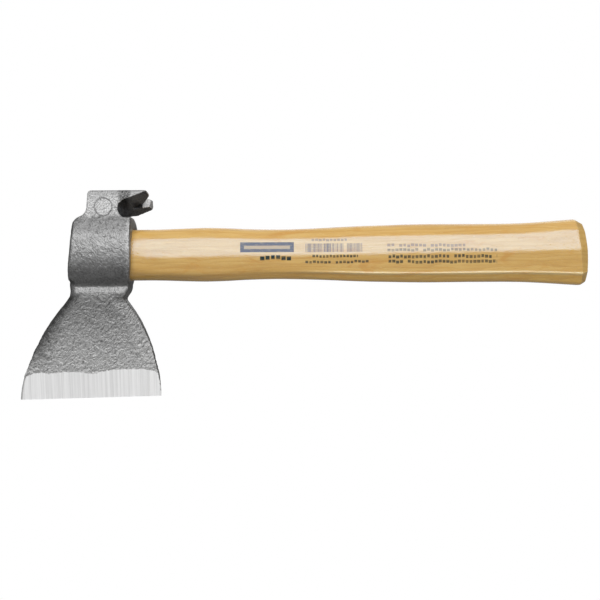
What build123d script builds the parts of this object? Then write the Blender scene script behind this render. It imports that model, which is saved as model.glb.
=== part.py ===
from build123d import *
import math
import os

# Roofing hatchet: one forged steel head (blade, eye, poll, twisted claw), a one-piece wooden
# handle, a wooden wedge in the handle's kerf and two small steel cross wedges.
# Frame: origin on the handle axis, in the end face of the eye that looks along the grip.
# +X runs along the handle to the butt, +Z up through the poll, -Z to the cutting edge,
# +Y across the head. Lengths in mm. The wedge end of the eye is at its -X end.

# ---------------------------------------------------------------- head dimensions
POLL_TOP = 35.1            # height of the striking face
POLL_HALF = 11.6           # half thickness of the poll block at its foot
POLL_HALF_TOP = 10.5       # and at the striking face, after the forging draft
POLL_FOOT_Z = 23.6
POLL_BACK = -23.7          # end of the poll away from the claw
POLL_BACK_FOOT = (-24.15, 26.6)     # X and Z where the poll's back runs into the eye outline
POLL_CORNER_R = 2.0        # rounded back corner of the poll

SHOULDER_Z = 20.3          # top of the eye block
EYE_HALF = 16.0            # half width of the eye's outer bulge
EYE_GRIP_TOP_X = 0.45      # grip-side end of the eye block at the shoulder

EDGE_LEFT = (-63.24, -79.78)        # ends of the cutting edge, X and Z
EDGE_RIGHT = (14.69, -78.02)
EDGE_FLAT = 0.10           # half width of the honed edge
BEVEL_HEIGHT = 14.9        # height of the ground bevel
BEVEL_HALF = 2.62          # half thickness of the blade where the bevel starts
BLANK_BOTTOM = -82.5       # bottom of the blade before it is cut to the edge

CLAW_TIP = 9.5             # reach of the claw tines
CLAW_TILT = math.radians(22.0)      # roll of the claw's underside about X
TWIST_DROP = 4.3           # fall of the tine tops at the +Y tip

# Head outline in side view: X, Z
WEDGE_SIDE = [             # -X side, poll to cutting edge
    POLL_BACK_FOOT, (-24.75, 23.7), (-26.5, 21.6), (-29.2, 20.1), (-31.1, 17.9),
    (-31.7, 14.4), (-32.15, 10.0), (-32.95, 1.5), (-33.6, -4.9), (-34.3, -12.0),
    (-34.55, -16.5), (-34.3, -20.3), (-34.9, -22.6), (-37.0, -25.3), (-41.8, -30.9),
    (-46.7, -37.5), (-50.9, -44.2), (-54.35, -50.8), (-57.3, -57.5), (-59.8, -64.1),
    (-61.75, -70.7), (-62.75, -75.5), EDGE_LEFT,
]
GRIP_SIDE = [              # +X side, cutting edge to eye
    EDGE_RIGHT, (14.4, -73.5), (13.9, -68.0), (12.5, -61.2), (11.0, -54.6),
    (8.9, -47.9), (6.0, -41.2), (2.6, -34.5), (-1.4, -28.6), (-3.3, -26.1),
    (-4.35, -24.2), (-4.05, -22.7), (-2.8, -21.0), (-2.0, -19.2), (-1.7, -16.4),
    (-1.1, -12.5), (-0.2, -7.0), (0.1, -3.0),
]
# Nose of the claw: distance back from the claw tip, distance below the striking face
CLAW_NOSE = [
    (2.3, 0.0), (1.0, 0.45), (0.45, 1.8), (0.15, 4.4), (0.0, 6.8), (0.35, 8.2), (1.2, 9.6),
]
# Cheek in end view, poll foot to blade: half thickness, Z
CHEEK = [
    (POLL_HALF, POLL_FOOT_Z), (11.75, 22.0), (12.6, 20.1), (13.7, 17.2), (14.9, 12.8),
    (15.7, 7.0), (EYE_HALF, 1.5), (15.65, -4.0), (14.3, -9.0), (12.0, -12.9),
    (9.7, -15.2), (8.3, -16.4), (7.75, -17.3), (7.9, -18.4), (8.45, -20.4),
    (8.4, -22.8), (7.35, -27.5), (5.9, -34.0), (4.75, -42.0), (3.75, -50.0),
    (3.0, -58.0), (2.7, -62.5), (2.5, -66.0), (2.2, -72.0), (1.7, -83.0),
]

# Bowl at the root of the claw's underside: X, height square to the tilt
BOWL = [(-4.2, 14.2), (-6.2, 16.6), (-7.1, 19.4), (-6.5, 21.8), (-4.7, 23.35), (-2.0, 24.4)]
BOWL_RAMP_END = (20.0, 32.5)
BOWL_FLOOR = -10.0
# Lower edge of the claw on its +Y side: X, Z
FAR_LOW = [
    (-5.2, 20.4), (-4.8, 21.2), (-3.8, 22.0), (0.0, 22.6), (4.3, 23.6), (8.7, 25.6), (12.0, 28.0),
]
FAR_LOW_Y = 3.0            # the raised edge starts here and runs towards +Y
# Fall of the eye's shoulder under the claw: Y, Z
FALL = [
    (-14.0, SHOULDER_Z), (-6.0, 20.1), (0.0, 19.5), (5.0, 18.4), (9.0, 16.8), (13.0, 14.0),
    (17.5, 9.4),
]
FALL_X = 0.5
FALL_TOP = 21.2
FALL_LENGTH = 5.0
FALL_RAMP = math.radians(58)        # climb of the cut towards -X
# Rounding at the grip-side end of the neck: X, Z
NECK = [
    (1.2, -15.6), (-1.0, -16.8), (-3.2, -18.7), (-4.2, -20.9), (-4.2, -22.6), (-3.6, -24.2),
    (-1.2, -28.6),
]
NECK_OUTER_X = 6.0
NECK_Y = 9.2               # distance from the middle plane where the slanting cuts start
# Sides of the slot between the tines: X, distance across, square to the tilt
SLOT_NEAR = [(0.1, -8.6), (3.0, -9.2), (5.2, -10.1), (7.1, -12.1), (9.0, -15.5), (11.3, -20.5)]
SLOT_FAR = [(11.3, -2.4), (9.0, -3.4), (6.0, -4.8), (0.1, -7.0)]
SLOT_ROOT = (-0.7, -7.8)
SLOT_CLEARANCE = 0.6       # the slot stops this far above the shoulder
# Slanted end of the +Y tine, seen from above: X, Y
FACET = [(8.1, 7.8), (9.9, 12.2), (16.0, 12.2), (16.0, 2.0), (5.8, 2.0)]
FACET_Z = 20.6

# ---------------------------------------------------------------- handle dimensions
EYE_HOLE_HEIGHT = 14.1     # half height of the handle where it enters the eye
EYE_HOLE_THICK = 11.2      # half thickness of the handle there
HANDLE_START = -36.0       # wedge end of the handle and wedges before trimming

BUTT_X = 249.6             # end of the handle
CHAMFER_X = 244.8          # start of the butt chamfer, on the axis
CHAMFER_LENGTH = 8.0       # length of the chamfer before the dome cuts it
CHAMFER_INSET = 4.6        # loss of half height and half thickness over that length
BUTT_LEAN = -0.085         # lean of the chamfer's start, mm of X for each mm of Z
DOME_R = 110.0             # radius of the domed butt
DOME_Z = -5.2              # height of the dome's crown

# Handle stations: X, half height, half thickness
STATIONS = [
    (HANDLE_START, EYE_HOLE_HEIGHT, EYE_HOLE_THICK),
    (-18.0, EYE_HOLE_HEIGHT, EYE_HOLE_THICK),
    (0.0, EYE_HOLE_HEIGHT, EYE_HOLE_THICK),
    (9.0, EYE_HOLE_HEIGHT, EYE_HOLE_THICK),
    (22.6, 14.40, 11.35), (42.6, 14.86, 11.60), (62.5, 14.10, 11.10),
    (82.5, 13.74, 10.85), (102.5, 14.27, 11.10), (122.5, 15.20, 11.60),
    (142.5, 15.80, 12.00), (162.4, 16.12, 12.20), (189.1, 16.02, 12.20),
    (209.1, 16.15, 12.40), (222.4, 16.70, 12.80), (235.7, 17.60, 13.40),
    (CHAMFER_X, 18.22, 13.80),
]
# Soft octagon of the grip, +Y half: Y in half thicknesses, Z in half heights
GRIP_HALF = [
    (0.00, 1.000), (0.30, 0.985), (0.56, 0.905), (0.80, 0.665), (0.945, 0.37),
    (1.000, 0.04), (0.992, -0.28), (0.930, -0.56), (0.800, -0.735), (0.56, -0.905),
    (0.30, -0.985),
]
GRIP_RING = GRIP_HALF + [(0.00, -1.000)] + [(-y, z) for y, z in reversed(GRIP_HALF[1:])]

TRIM_X = -32.8             # trimmed wedge end of the handle, on the axis
TRIM_LEAN = math.atan2(2.7, 29.5)   # lean of that end

# ---------------------------------------------------------------- wedge dimensions
WEDGE_EXTRA = 3.6          # length of each wedge ahead of its depth, mostly trimmed off
WOOD_THICK = 3.2           # wooden wedge: head and tip thickness, depth, half height
WOOD_TIP = 0.8
WOOD_DEPTH = 23.0
WOOD_HALF = 12.9
STEEL_WIDTH = 13.0         # steel cross wedges: width, head and tip thickness, depth
STEEL_THICK = 2.2
STEEL_TIP = 0.5
STEEL_DEPTH = 15.0
STEEL_Z = 7.2              # distance of each steel wedge from the handle axis


# ---------------------------------------------------------------- helpers
def side_view(points, y=0):
    """X, Z pairs as points in the plane at y."""
    return [Vector(x, y, z) for x, z in points]


def end_view(points, x):
    """Y, Z pairs as points in the plane at x."""
    return [Vector(x, y, z) for y, z in points]


def on_plane(plane, points):
    return [plane.from_local_coords(Vector(x, y, 0)) for x, y in points]


def lines(points):
    return [Edge.make_line(start, stop) for start, stop in zip(points, points[1:])]


def polygon(points):
    return Face(Wire(lines([*points, points[0]])))


def curve_face(points, curve_count):
    """Face with a spline through the first curve_count points, then straight sides."""
    curve = points[:curve_count]
    sides = lines([curve[-1], *points[curve_count:], curve[0]])
    return Face(Wire([Edge.make_spline(curve), *sides]))


def largest(shape):
    return shape.solids().sort_by(SortBy.VOLUME)[-1]


def block_above(z):
    return Pos(0, 0, z + 20) * Box(80, 60, 40)


# ---------------------------------------------------------------- head
def head_blank():
    """The side view and the end view, each extruded, and what they share."""
    nose = [(CLAW_TIP - back, POLL_TOP - drop) for back, drop in CLAW_NOSE]
    arc_inset = POLL_CORNER_R * (1 - math.sqrt(0.5))
    corner = side_view([
        (POLL_BACK, POLL_TOP - POLL_CORNER_R),
        (POLL_BACK + arc_inset, POLL_TOP - arc_inset),
        (POLL_BACK + POLL_CORNER_R, POLL_TOP),
    ])
    under_claw = [nose[-1], (nose[-1][0], SHOULDER_Z), (EYE_GRIP_TOP_X, SHOULDER_Z), GRIP_SIDE[-1]]
    below_edge = [
        EDGE_RIGHT, (EDGE_RIGHT[0] + 0.02, BLANK_BOTTOM), (EDGE_LEFT[0], BLANK_BOTTOM), EDGE_LEFT,
    ]
    side_edges = [
        *lines([corner[-1], *side_view(nose[:1])]),
        Edge.make_spline(side_view(nose)),
        *lines(side_view(under_claw)),
        Edge.make_spline(side_view(reversed(GRIP_SIDE))),
        *lines(side_view(below_edge)),
        Edge.make_spline(side_view(reversed(WEDGE_SIDE))),
        *lines([*side_view([POLL_BACK_FOOT]), corner[0]]),
        Edge.make_three_point_arc(*corner),
    ]
    side_solid = extrude(Face(Wire(side_edges)), amount=20, dir=(0, 1, 0), both=True)

    section_x = -80
    cheek = end_view(CHEEK, section_x)
    mirrored = end_view([(-y, z) for y, z in reversed(CHEEK)], section_x)
    top = end_view([(-POLL_HALF_TOP, POLL_TOP + 1), (POLL_HALF_TOP, POLL_TOP + 1)], section_x)
    section_edges = [
        *lines([*top, cheek[0]]),
        Edge.make_spline(cheek),
        *lines([cheek[-1], mirrored[0]]),
        Edge.make_spline(mirrored),
        *lines([mirrored[-1], top[0]]),
    ]
    section_solid = extrude(Face(Wire(section_edges)), amount=110, dir=(1, 0, 0))
    return largest(side_solid & section_solid)


def grind_edge(head):
    """Cut both bevels, then everything below the honed edge."""
    edge_dx = EDGE_RIGHT[0] - EDGE_LEFT[0]
    edge_dz = EDGE_RIGHT[1] - EDGE_LEFT[1]
    slope = (BEVEL_HALF - EDGE_FLAT) / BEVEL_HEIGHT
    # local frame: x along the edge, y across the head, z away from the edge into the blade
    edge_plane = Plane(
        origin=(EDGE_LEFT[0], 0, EDGE_LEFT[1]),
        x_dir=(edge_dx, 0, edge_dz),
        z_dir=(-edge_dz, 0, edge_dx),
    )
    low, high, outside = -6.0, 20.0, 12.0
    cut = [
        (EDGE_FLAT + slope * low, low), (EDGE_FLAT + slope * high, high),
        (outside, high), (outside, low),
    ]
    for side in (1, -1):
        corners = [edge_plane.from_local_coords(Vector(-10, side * y, z)) for y, z in cut]
        head = head - extrude(polygon(corners), amount=100, dir=(edge_dx, 0, edge_dz))
    below = edge_plane.location * Pos(40, 0, -15) * Box(200, 60, 30)
    return largest(head - below)


def scoop_claw(head):
    """Hollow the underside of the tines and let the shoulder fall away under them."""
    # a bowl at the root that runs out in a ramp, ruled across the head along the tilt
    across = (0, -math.cos(CLAW_TILT), math.sin(CLAW_TILT))
    scoop_plane = Plane(origin=(0, 0, 0), x_dir=(1, 0, 0), z_dir=across)
    outline = [*BOWL, BOWL_RAMP_END, (BOWL_RAMP_END[0], BOWL_FLOOR), (BOWL[0][0], BOWL_FLOOR)]
    scoop_face = curve_face(on_plane(scoop_plane, outline), len(BOWL))
    scoop = extrude(scoop_face, amount=30, dir=across, both=True)
    head = head - (scoop & block_above(SHOULDER_Z))

    # the +Y lower edge of the claw is forged up
    outline = [*FAR_LOW, (FAR_LOW[-1][0], FAR_LOW[0][1])]
    far_face = curve_face(side_view(outline, FAR_LOW_Y), len(FAR_LOW))
    head = head - extrude(far_face, amount=20, dir=(0, 1, 0))

    # the shoulder of the eye falls towards +Y
    outline = [*FALL, (FALL[-1][0], FALL_TOP), (FALL[0][0], FALL_TOP)]
    fall_cut = extrude(
        curve_face(end_view(outline, FALL_X), len(FALL)),
        amount=FALL_LENGTH, dir=(-math.cos(FALL_RAMP), 0, math.sin(FALL_RAMP)),
    )
    return head - (fall_cut & (Pos(0, 0, SHOULDER_Z + 1.0 - 15) * Box(60, 60, 30)))


def round_neck(head):
    """Round the cheeks into the grip-side end, below the eye."""
    outline = [*NECK, (NECK_OUTER_X, NECK[-1][1]), (NECK_OUTER_X, NECK[0][1])]
    for side in (1, -1):
        neck_face = curve_face(side_view(outline, side * NECK_Y), len(NECK))
        head = head - extrude(neck_face, amount=10.0, dir=(0, side, 0))
        head = head - extrude(neck_face, amount=7.0, dir=(0.58, -side * 0.81, 0))
    return head


def split_claw(head):
    """Cut the slot between the tines, the slanted tine end and the twisted top."""
    # the slot is square to the tilted underside
    upward = (0, math.sin(CLAW_TILT), math.cos(CLAW_TILT))
    slot_plane = Plane(origin=(0, 0, 0), x_dir=(1, 0, 0), z_dir=upward)
    near = on_plane(slot_plane, SLOT_NEAR)
    far = on_plane(slot_plane, SLOT_FAR)
    root = on_plane(slot_plane, [SLOT_ROOT])[0]
    slot_edges = [
        Edge.make_spline(near),
        *lines([near[-1], far[0]]),
        Edge.make_spline(far),
        Edge.make_three_point_arc(far[-1], root, near[0]),
    ]
    slot = extrude(Face(Wire(slot_edges)), amount=60, dir=upward)
    head = head - (slot & block_above(SHOULDER_Z + SLOT_CLEARANCE))

    facet = polygon([Vector(x, y, FACET_Z) for x, y in FACET])
    head = head - extrude(facet, amount=30, dir=(0, 0, 1))

    # the top of the tines twists down towards the +Y tip
    twist_root = Vector(-6.0, 11.5, POLL_TOP)
    near_tip = Vector(CLAW_TIP, -11.5, POLL_TOP)
    far_tip = Vector(CLAW_TIP, 11.5, POLL_TOP - TWIST_DROP)
    normal = (near_tip - twist_root).cross(far_tip - twist_root).normalized()
    twist_plane = Plane(origin=twist_root, z_dir=normal)
    return largest(head - (twist_plane.location * Pos(0, 0, 10) * Box(120, 120, 20)))


# ---------------------------------------------------------------- handle
def grip_wire(x, half_height, half_thick, lean=0.0):
    """Closed handle section at x, leaning by lean mm of X for each mm of height."""
    points = [
        Vector(x + lean * half_height * z, half_thick * y, half_height * z) for y, z in GRIP_RING
    ]
    return Face(Wire([Edge.make_spline(points, periodic=True)])).outer_wire()


def build_handle():
    """Handle with its domed butt, before the wedge end is trimmed."""
    x, half_height, half_thick = STATIONS[-1]
    chamfer_start = (x, half_height, half_thick, BUTT_LEAN)
    chamfer_end = (
        x + CHAMFER_LENGTH, half_height - CHAMFER_INSET, half_thick - CHAMFER_INSET, BUTT_LEAN,
    )
    main = Solid.make_loft(
        [*[grip_wire(*station) for station in STATIONS[:-1]], grip_wire(*chamfer_start)]
    )
    end = Solid.make_loft([grip_wire(*chamfer_start), grip_wire(*chamfer_end)], ruled=True)
    dome = Pos(BUTT_X - DOME_R, 0, DOME_Z) * Sphere(DOME_R)
    handle = main + end
    return largest(handle - ((Pos(x + 17, 0, 0) * Box(40, 60, 60)) - dome))


# ---------------------------------------------------------------- wedges
def wedge(thick_dir, width_dir, head, tip, depth, half_width, z=0):
    """Wedge along X: thickness head to tip along thick_dir, width along width_dir."""
    tip_x = HANDLE_START + WEDGE_EXTRA + depth
    profile = [
        (HANDLE_START, -head / 2), (tip_x, -tip / 2), (tip_x, tip / 2), (HANDLE_START, head / 2),
    ]
    corners = [Vector(x, 0, z) + Vector(*thick_dir) * offset for x, offset in profile]
    return extrude(polygon(corners), amount=half_width, dir=width_dir, both=True)


# ---------------------------------------------------------------- assembly
head = split_claw(round_neck(scoop_claw(grind_edge(head_blank()))))
handle = build_handle()

# the eye is filled by the handle, line to line
tenon = handle & (Pos(-20, 0, 0) * Box(45, 60, 60))
head = largest(head - tenon)

# the wedge end of the handle and wedges is trimmed near the leaning end face of the eye
trim_plane = Plane(
    origin=(TRIM_X, 0, 0), z_dir=(-math.cos(TRIM_LEAN), 0, math.sin(TRIM_LEAN))
)
trim = trim_plane.location * Pos(0, 0, 15) * Box(80, 80, 30)
handle = handle - trim

wood = wedge((0, 1, 0), (0, 0, 1), WOOD_THICK, WOOD_TIP, WOOD_DEPTH, WOOD_HALF)
steel = [
    wedge((0, 0, 1), (0, 1, 0), STEEL_THICK, STEEL_TIP, STEEL_DEPTH, STEEL_WIDTH / 2, z)
    for z in (STEEL_Z, -STEEL_Z)
]
handle = largest(handle - wood - steel[0] - steel[1])
wood = wood - trim - steel[0] - steel[1]
steel = [piece - trim for piece in steel]

# ---------------------------------------------------------------- export
os.makedirs("parts", exist_ok=True)
nodes = {
    "head": [head],
    "handle": [handle],
    "wood_wedge": list(wood.solids()),
    "steel_wedges": [piece.solids()[0] for piece in steel],
}
for name, solids in nodes.items():
    shape = solids[0] if len(solids) == 1 else Compound(children=solids)
    shape.label = name
    export_step(shape, f"parts/{name}.step")
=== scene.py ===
# A hatchet: a forged steel head with a claw on its poll, on a varnished wooden grip.
# The grip runs along X, its butt towards +X, and passes through the eye of the head between
# about X = -36 and 0 mm. Z is up: the cutting edge is the lowest part, the poll the highest.
# Y is the thickness; the camera stands on the -Y side, called the near side below. Left is -X.
# Shapes and surface fields are worked out in millimetres, meshes are stored in metres.
import itertools
import math
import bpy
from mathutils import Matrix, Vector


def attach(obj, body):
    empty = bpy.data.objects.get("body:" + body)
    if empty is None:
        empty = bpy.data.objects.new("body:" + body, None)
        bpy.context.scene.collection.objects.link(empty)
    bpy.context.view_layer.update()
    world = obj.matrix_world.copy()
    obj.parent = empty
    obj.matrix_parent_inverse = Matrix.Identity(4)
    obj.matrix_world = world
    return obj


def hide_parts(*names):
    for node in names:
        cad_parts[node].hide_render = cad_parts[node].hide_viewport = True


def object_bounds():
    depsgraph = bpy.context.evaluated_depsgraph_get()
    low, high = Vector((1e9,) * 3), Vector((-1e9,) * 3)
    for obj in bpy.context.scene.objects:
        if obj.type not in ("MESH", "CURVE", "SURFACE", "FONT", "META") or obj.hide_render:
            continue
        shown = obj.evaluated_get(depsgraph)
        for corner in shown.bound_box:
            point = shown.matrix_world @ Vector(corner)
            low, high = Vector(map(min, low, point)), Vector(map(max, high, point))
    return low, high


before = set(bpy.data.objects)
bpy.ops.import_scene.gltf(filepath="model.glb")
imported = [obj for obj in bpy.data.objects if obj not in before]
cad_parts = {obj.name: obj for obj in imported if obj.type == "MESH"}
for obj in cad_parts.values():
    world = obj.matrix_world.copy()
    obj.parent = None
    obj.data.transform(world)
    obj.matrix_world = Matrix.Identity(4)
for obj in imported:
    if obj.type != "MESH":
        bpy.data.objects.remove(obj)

from types import SimpleNamespace

import bmesh
import bpy
import numpy as np
from mathutils import Matrix, Vector
from mathutils.kdtree import KDTree


def plain_bounds():
    return [[float(v) for v in corner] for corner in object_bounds()]


cad_bounds = plain_bounds()
scene = bpy.context.scene
collection = scene.collection

MM = 0.001

# ============================================================ shared dimensions, mm
EDGE_LEFT = (-63.24, -79.78)         # ends of the cutting edge: X, Z
EDGE_RIGHT = (14.69, -78.02)
EDGE_ANGLE = math.atan2(EDGE_RIGHT[1] - EDGE_LEFT[1], EDGE_RIGHT[0] - EDGE_LEFT[0])
EDGE_HALF = 0.10                     # half thickness at the cutting edge
BEVEL_HALF = 2.62                    # half thickness at the top of the ground bevel
BEVEL_HEIGHT = 14.9
BEVEL_SLOPE = (BEVEL_HALF - EDGE_HALF) / BEVEL_HEIGHT

EYE_HALF_Y, EYE_HALF_Z = 11.2, 14.1  # half sizes of the eye and of the grip inside it

# Half section of the eye from top to bottom: Y, Z as parts of the half sizes
EYE_SECTION = [
    (0.00, 1.000), (0.30, 0.985), (0.56, 0.905), (0.80, 0.665), (0.945, 0.37),
    (1.000, 0.04), (0.992, -0.28), (0.930, -0.56), (0.800, -0.735), (0.56, -0.905),
    (0.30, -0.985),
]


# ============================================================ noise
def lattice_hash(ix, iy, iz, seed):
    value = (ix.astype(np.uint32) * np.uint32(374761393)
             + iy.astype(np.uint32) * np.uint32(668265263)
             + iz.astype(np.uint32) * np.uint32(2147483647)
             + np.uint32(seed * 1013904223 & 0xFFFFFFFF))
    value = (value ^ (value >> np.uint32(13))) * np.uint32(1274126177)
    value = (value ^ (value >> np.uint32(16))) * np.uint32(2246822519)
    return value ^ (value >> np.uint32(15))


def perlin(points, seed):
    """Gradient noise, about -1 to 1, at points (N, 3)."""
    points = np.asarray(points, np.float64)
    cell = np.floor(points).astype(np.int64)
    inside = points - cell
    ease = inside * inside * inside * (inside * (inside * 6 - 15) + 10)
    total = np.zeros(len(points))
    for corner in itertools.product((0, 1), repeat=3):
        weight = np.where(corner, ease, 1 - ease)
        bits = lattice_hash(*(cell + corner).T, seed)
        turn = (bits & np.uint32(0xFFFF)).astype(np.float64) / 65535.0 * 2 * np.pi
        up = ((bits >> np.uint32(16)) & np.uint32(0xFFFF)).astype(np.float64) / 65535.0 * 2 - 1
        flat = np.sqrt(np.maximum(0, 1 - up * up))
        away = inside - corner
        slope = (flat * np.cos(turn) * away[:, 0] + flat * np.sin(turn) * away[:, 1]
                 + up * away[:, 2])
        total += weight[:, 0] * weight[:, 1] * weight[:, 2] * slope
    return total * 1.6


def smooth(start, end, value):
    """Eases from 0 at start to 1 at end; start may be the larger."""
    part = np.clip((value - start) / (end - start), 0, 1)
    return part * part * (3 - 2 * part)


def bell(distance, width):
    return np.exp(-(distance / width) ** 2)


# ============================================================ meshes
def mesh_arrays(node):
    mesh = node.data
    mesh.calc_loop_triangles()
    points = np.zeros(len(mesh.vertices) * 3)
    mesh.vertices.foreach_get("co", points)
    tris = np.zeros(len(mesh.loop_triangles) * 3, np.int64)
    mesh.loop_triangles.foreach_get("vertices", tris)
    return points.reshape(-1, 3), tris.reshape(-1, 3)


def weld(points, tris, tolerance=2e-6):
    key = np.round(points / tolerance).astype(np.int64)
    _, first, inverse = np.unique(key, axis=0, return_index=True, return_inverse=True)
    tris = inverse.reshape(-1)[tris]
    whole = ((tris[:, 0] != tris[:, 1]) & (tris[:, 1] != tris[:, 2])
             & (tris[:, 0] != tris[:, 2]))
    return points[first], tris[whole]


def edges_of(tris):
    """The edges, and for each triangle the edge ids of its sides 01, 12, 20."""
    edges = np.sort(np.concatenate([tris[:, [0, 1]], tris[:, [1, 2]], tris[:, [2, 0]]]), axis=1)
    key = edges[:, 0] * (edges.max() + 1) + edges[:, 1]
    _, first, inverse = np.unique(key, return_index=True, return_inverse=True)
    return edges[first], inverse.reshape(3, -1).T


def split_triangles(points, tris, middles):
    """Cuts triangles at the middle points of their sides; -1 marks a side left whole."""
    def turned(rows, first):
        index = np.arange(len(rows))
        return [rows[index, (first + i) % 3] for i in range(3)]

    def triangles(*corners):
        return np.stack(corners, 1)

    count = (middles >= 0).sum(axis=1)
    parts = [tris[count == 0]]
    # one split side
    corners, mids = tris[count == 1], middles[count == 1]
    first = np.argmax(mids >= 0, axis=1)
    a, b, c = turned(corners, first)
    ab = turned(mids, first)[0]
    parts += [triangles(a, ab, c), triangles(ab, b, c)]
    # two split sides, turned so that they are ab and bc; the shorter diagonal is used
    corners, mids = tris[count == 2], middles[count == 2]
    first = (np.argmax(mids < 0, axis=1) + 1) % 3
    a, b, c = turned(corners, first)
    ab, bc, _ = turned(mids, first)
    to_c = np.linalg.norm(points[ab] - points[c], axis=1)
    to_a = np.linalg.norm(points[bc] - points[a], axis=1)
    near_c = to_c < to_a
    near_a = ~near_c
    parts += [triangles(ab, b, bc),
              triangles(a[near_c], ab[near_c], c[near_c]),
              triangles(ab[near_c], bc[near_c], c[near_c]),
              triangles(a[near_a], ab[near_a], bc[near_a]),
              triangles(a[near_a], bc[near_a], c[near_a])]
    # three split sides
    a, b, c = tris[count == 3].T
    ab, bc, ca = middles[count == 3].T
    parts += [triangles(a, ab, ca), triangles(ab, b, bc),
              triangles(ca, bc, c), triangles(ab, bc, ca)]
    return np.vstack(parts)


def refine(points, tris, limit, rounds=16):
    """Splits every edge longer than limit(middle) in two, keeping the mesh closed."""
    for _ in range(rounds):
        edges, sides = edges_of(tris)
        start, end = points[edges[:, 0]], points[edges[:, 1]]
        length = np.linalg.norm(start - end, axis=1)
        too_long = length > limit((start + end) / 2)
        if not too_long.any():
            break
        # only the longest side and those near its length are split, for better shapes
        excess = np.where(too_long[sides], length[sides], 0)
        marked = (excess > 0) & (excess >= 0.66 * excess.max(axis=1)[:, None])
        split = np.zeros(len(edges), bool)
        split[sides[marked]] = True
        middle = np.full(len(edges), -1)
        middle[split] = len(points) + np.arange(split.sum())
        points = np.vstack([points, (start[split] + end[split]) / 2])
        tris = split_triangles(points, tris, middle[sides])
    return points, tris


def unit_rows(vectors):
    return vectors / np.maximum(np.linalg.norm(vectors, axis=1), 1e-20)[:, None]


def face_crosses(points, tris):
    return np.cross(points[tris[:, 1]] - points[tris[:, 0]],
                    points[tris[:, 2]] - points[tris[:, 0]])


def vertex_normals(points, tris):
    cross = face_crosses(points, tris)
    total = np.zeros_like(points)
    for corner in range(3):
        for axis in range(3):
            total[:, axis] += np.bincount(tris[:, corner], cross[:, axis], len(points))
    return unit_rows(total)


def round_edges(points, tris, radius, sharp_angle=26.0):
    """Relaxes the surface within radius(points), in mm, of every sharp edge."""
    edges, sides = edges_of(tris)
    normals = unit_rows(face_crosses(points, tris))
    first = np.full(len(edges), -1)
    second = np.full(len(edges), -1)
    face = np.repeat(np.arange(len(tris)), 3)
    side = sides.reshape(-1)
    first[side[::-1]] = face[::-1]
    second[side] = face
    cosine = (normals[first] * normals[second]).sum(1)
    sharp = edges[cosine < math.cos(math.radians(sharp_angle))]

    reach = radius(points / MM)
    reached = reach > 0.01
    ridge = np.unique(sharp.reshape(-1))
    ridge = ridge[reached[ridge]]
    tree = KDTree(len(ridge))
    for i, point in enumerate(points[ridge]):
        tree.insert(point, i)
    tree.balance()
    distance = np.full(len(points), 1e9)
    for i in np.where(reached)[0]:
        distance[i] = tree.find(points[i])[2] / MM
    weight = np.where(reached, smooth(1.0, 0.45, distance / np.maximum(reach, 1e-6)), 0.0)

    # wider radii take more relaxing steps
    steps = np.clip((reach / 0.5) ** 2 * 1.6, 0, 60)
    degree = np.bincount(edges.reshape(-1), minlength=len(points)).astype(float)
    for step in range(int(steps.max()) + 1):
        total = np.zeros_like(points)
        for axis in range(3):
            total[:, axis] = (
                np.bincount(edges[:, 0], points[edges[:, 1], axis], len(points))
                + np.bincount(edges[:, 1], points[edges[:, 0], axis], len(points)))
        average = total / np.maximum(degree, 1)[:, None]
        points = points + (average - points) * (weight * (step < steps) * 0.6)[:, None]
    return points


def make_object(name, points, tris, material, point_values, face_values, sharp_angle):
    """A smooth-shaded triangle mesh with float attributes on its points and faces."""
    mesh = bpy.data.meshes.new(name)
    mesh.vertices.add(len(points))
    mesh.vertices.foreach_set("co", np.asarray(points, np.float32).reshape(-1))
    mesh.loops.add(len(tris) * 3)
    mesh.loops.foreach_set("vertex_index", tris.reshape(-1).astype(np.int32))
    mesh.polygons.add(len(tris))
    mesh.polygons.foreach_set("loop_start", np.arange(0, len(tris) * 3, 3, dtype=np.int32))
    mesh.update(calc_edges=True)
    mesh.materials.append(material)
    for domain, values in (("POINT", point_values), ("FACE", face_values)):
        for key, numbers in values.items():
            attribute = mesh.attributes.new(key, "FLOAT", domain)
            attribute.data.foreach_set("value", np.asarray(numbers, np.float32))
    mesh.polygons.foreach_set("use_smooth", np.ones(len(mesh.polygons), bool))
    mesh.validate()
    mesh.update()
    made = bpy.data.objects.new(name, mesh)
    collection.objects.link(made)
    mesh.set_sharp_from_angle(angle=math.radians(sharp_angle))
    return made


# ============================================================ node networks
def operator(operation, swapped=False):
    def apply(self, other):
        pair = (other, self) if swapped else (self, other)
        return self.net.math(operation, *pair)
    return apply


class Value:
    """A node output; arithmetic on it adds Math nodes."""
    def __init__(self, net, socket):
        self.net = net
        self.socket = socket

    __add__ = operator("ADD")
    __radd__ = operator("ADD", swapped=True)
    __sub__ = operator("SUBTRACT")
    __rsub__ = operator("SUBTRACT", swapped=True)
    __mul__ = operator("MULTIPLY")
    __truediv__ = operator("DIVIDE")


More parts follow.
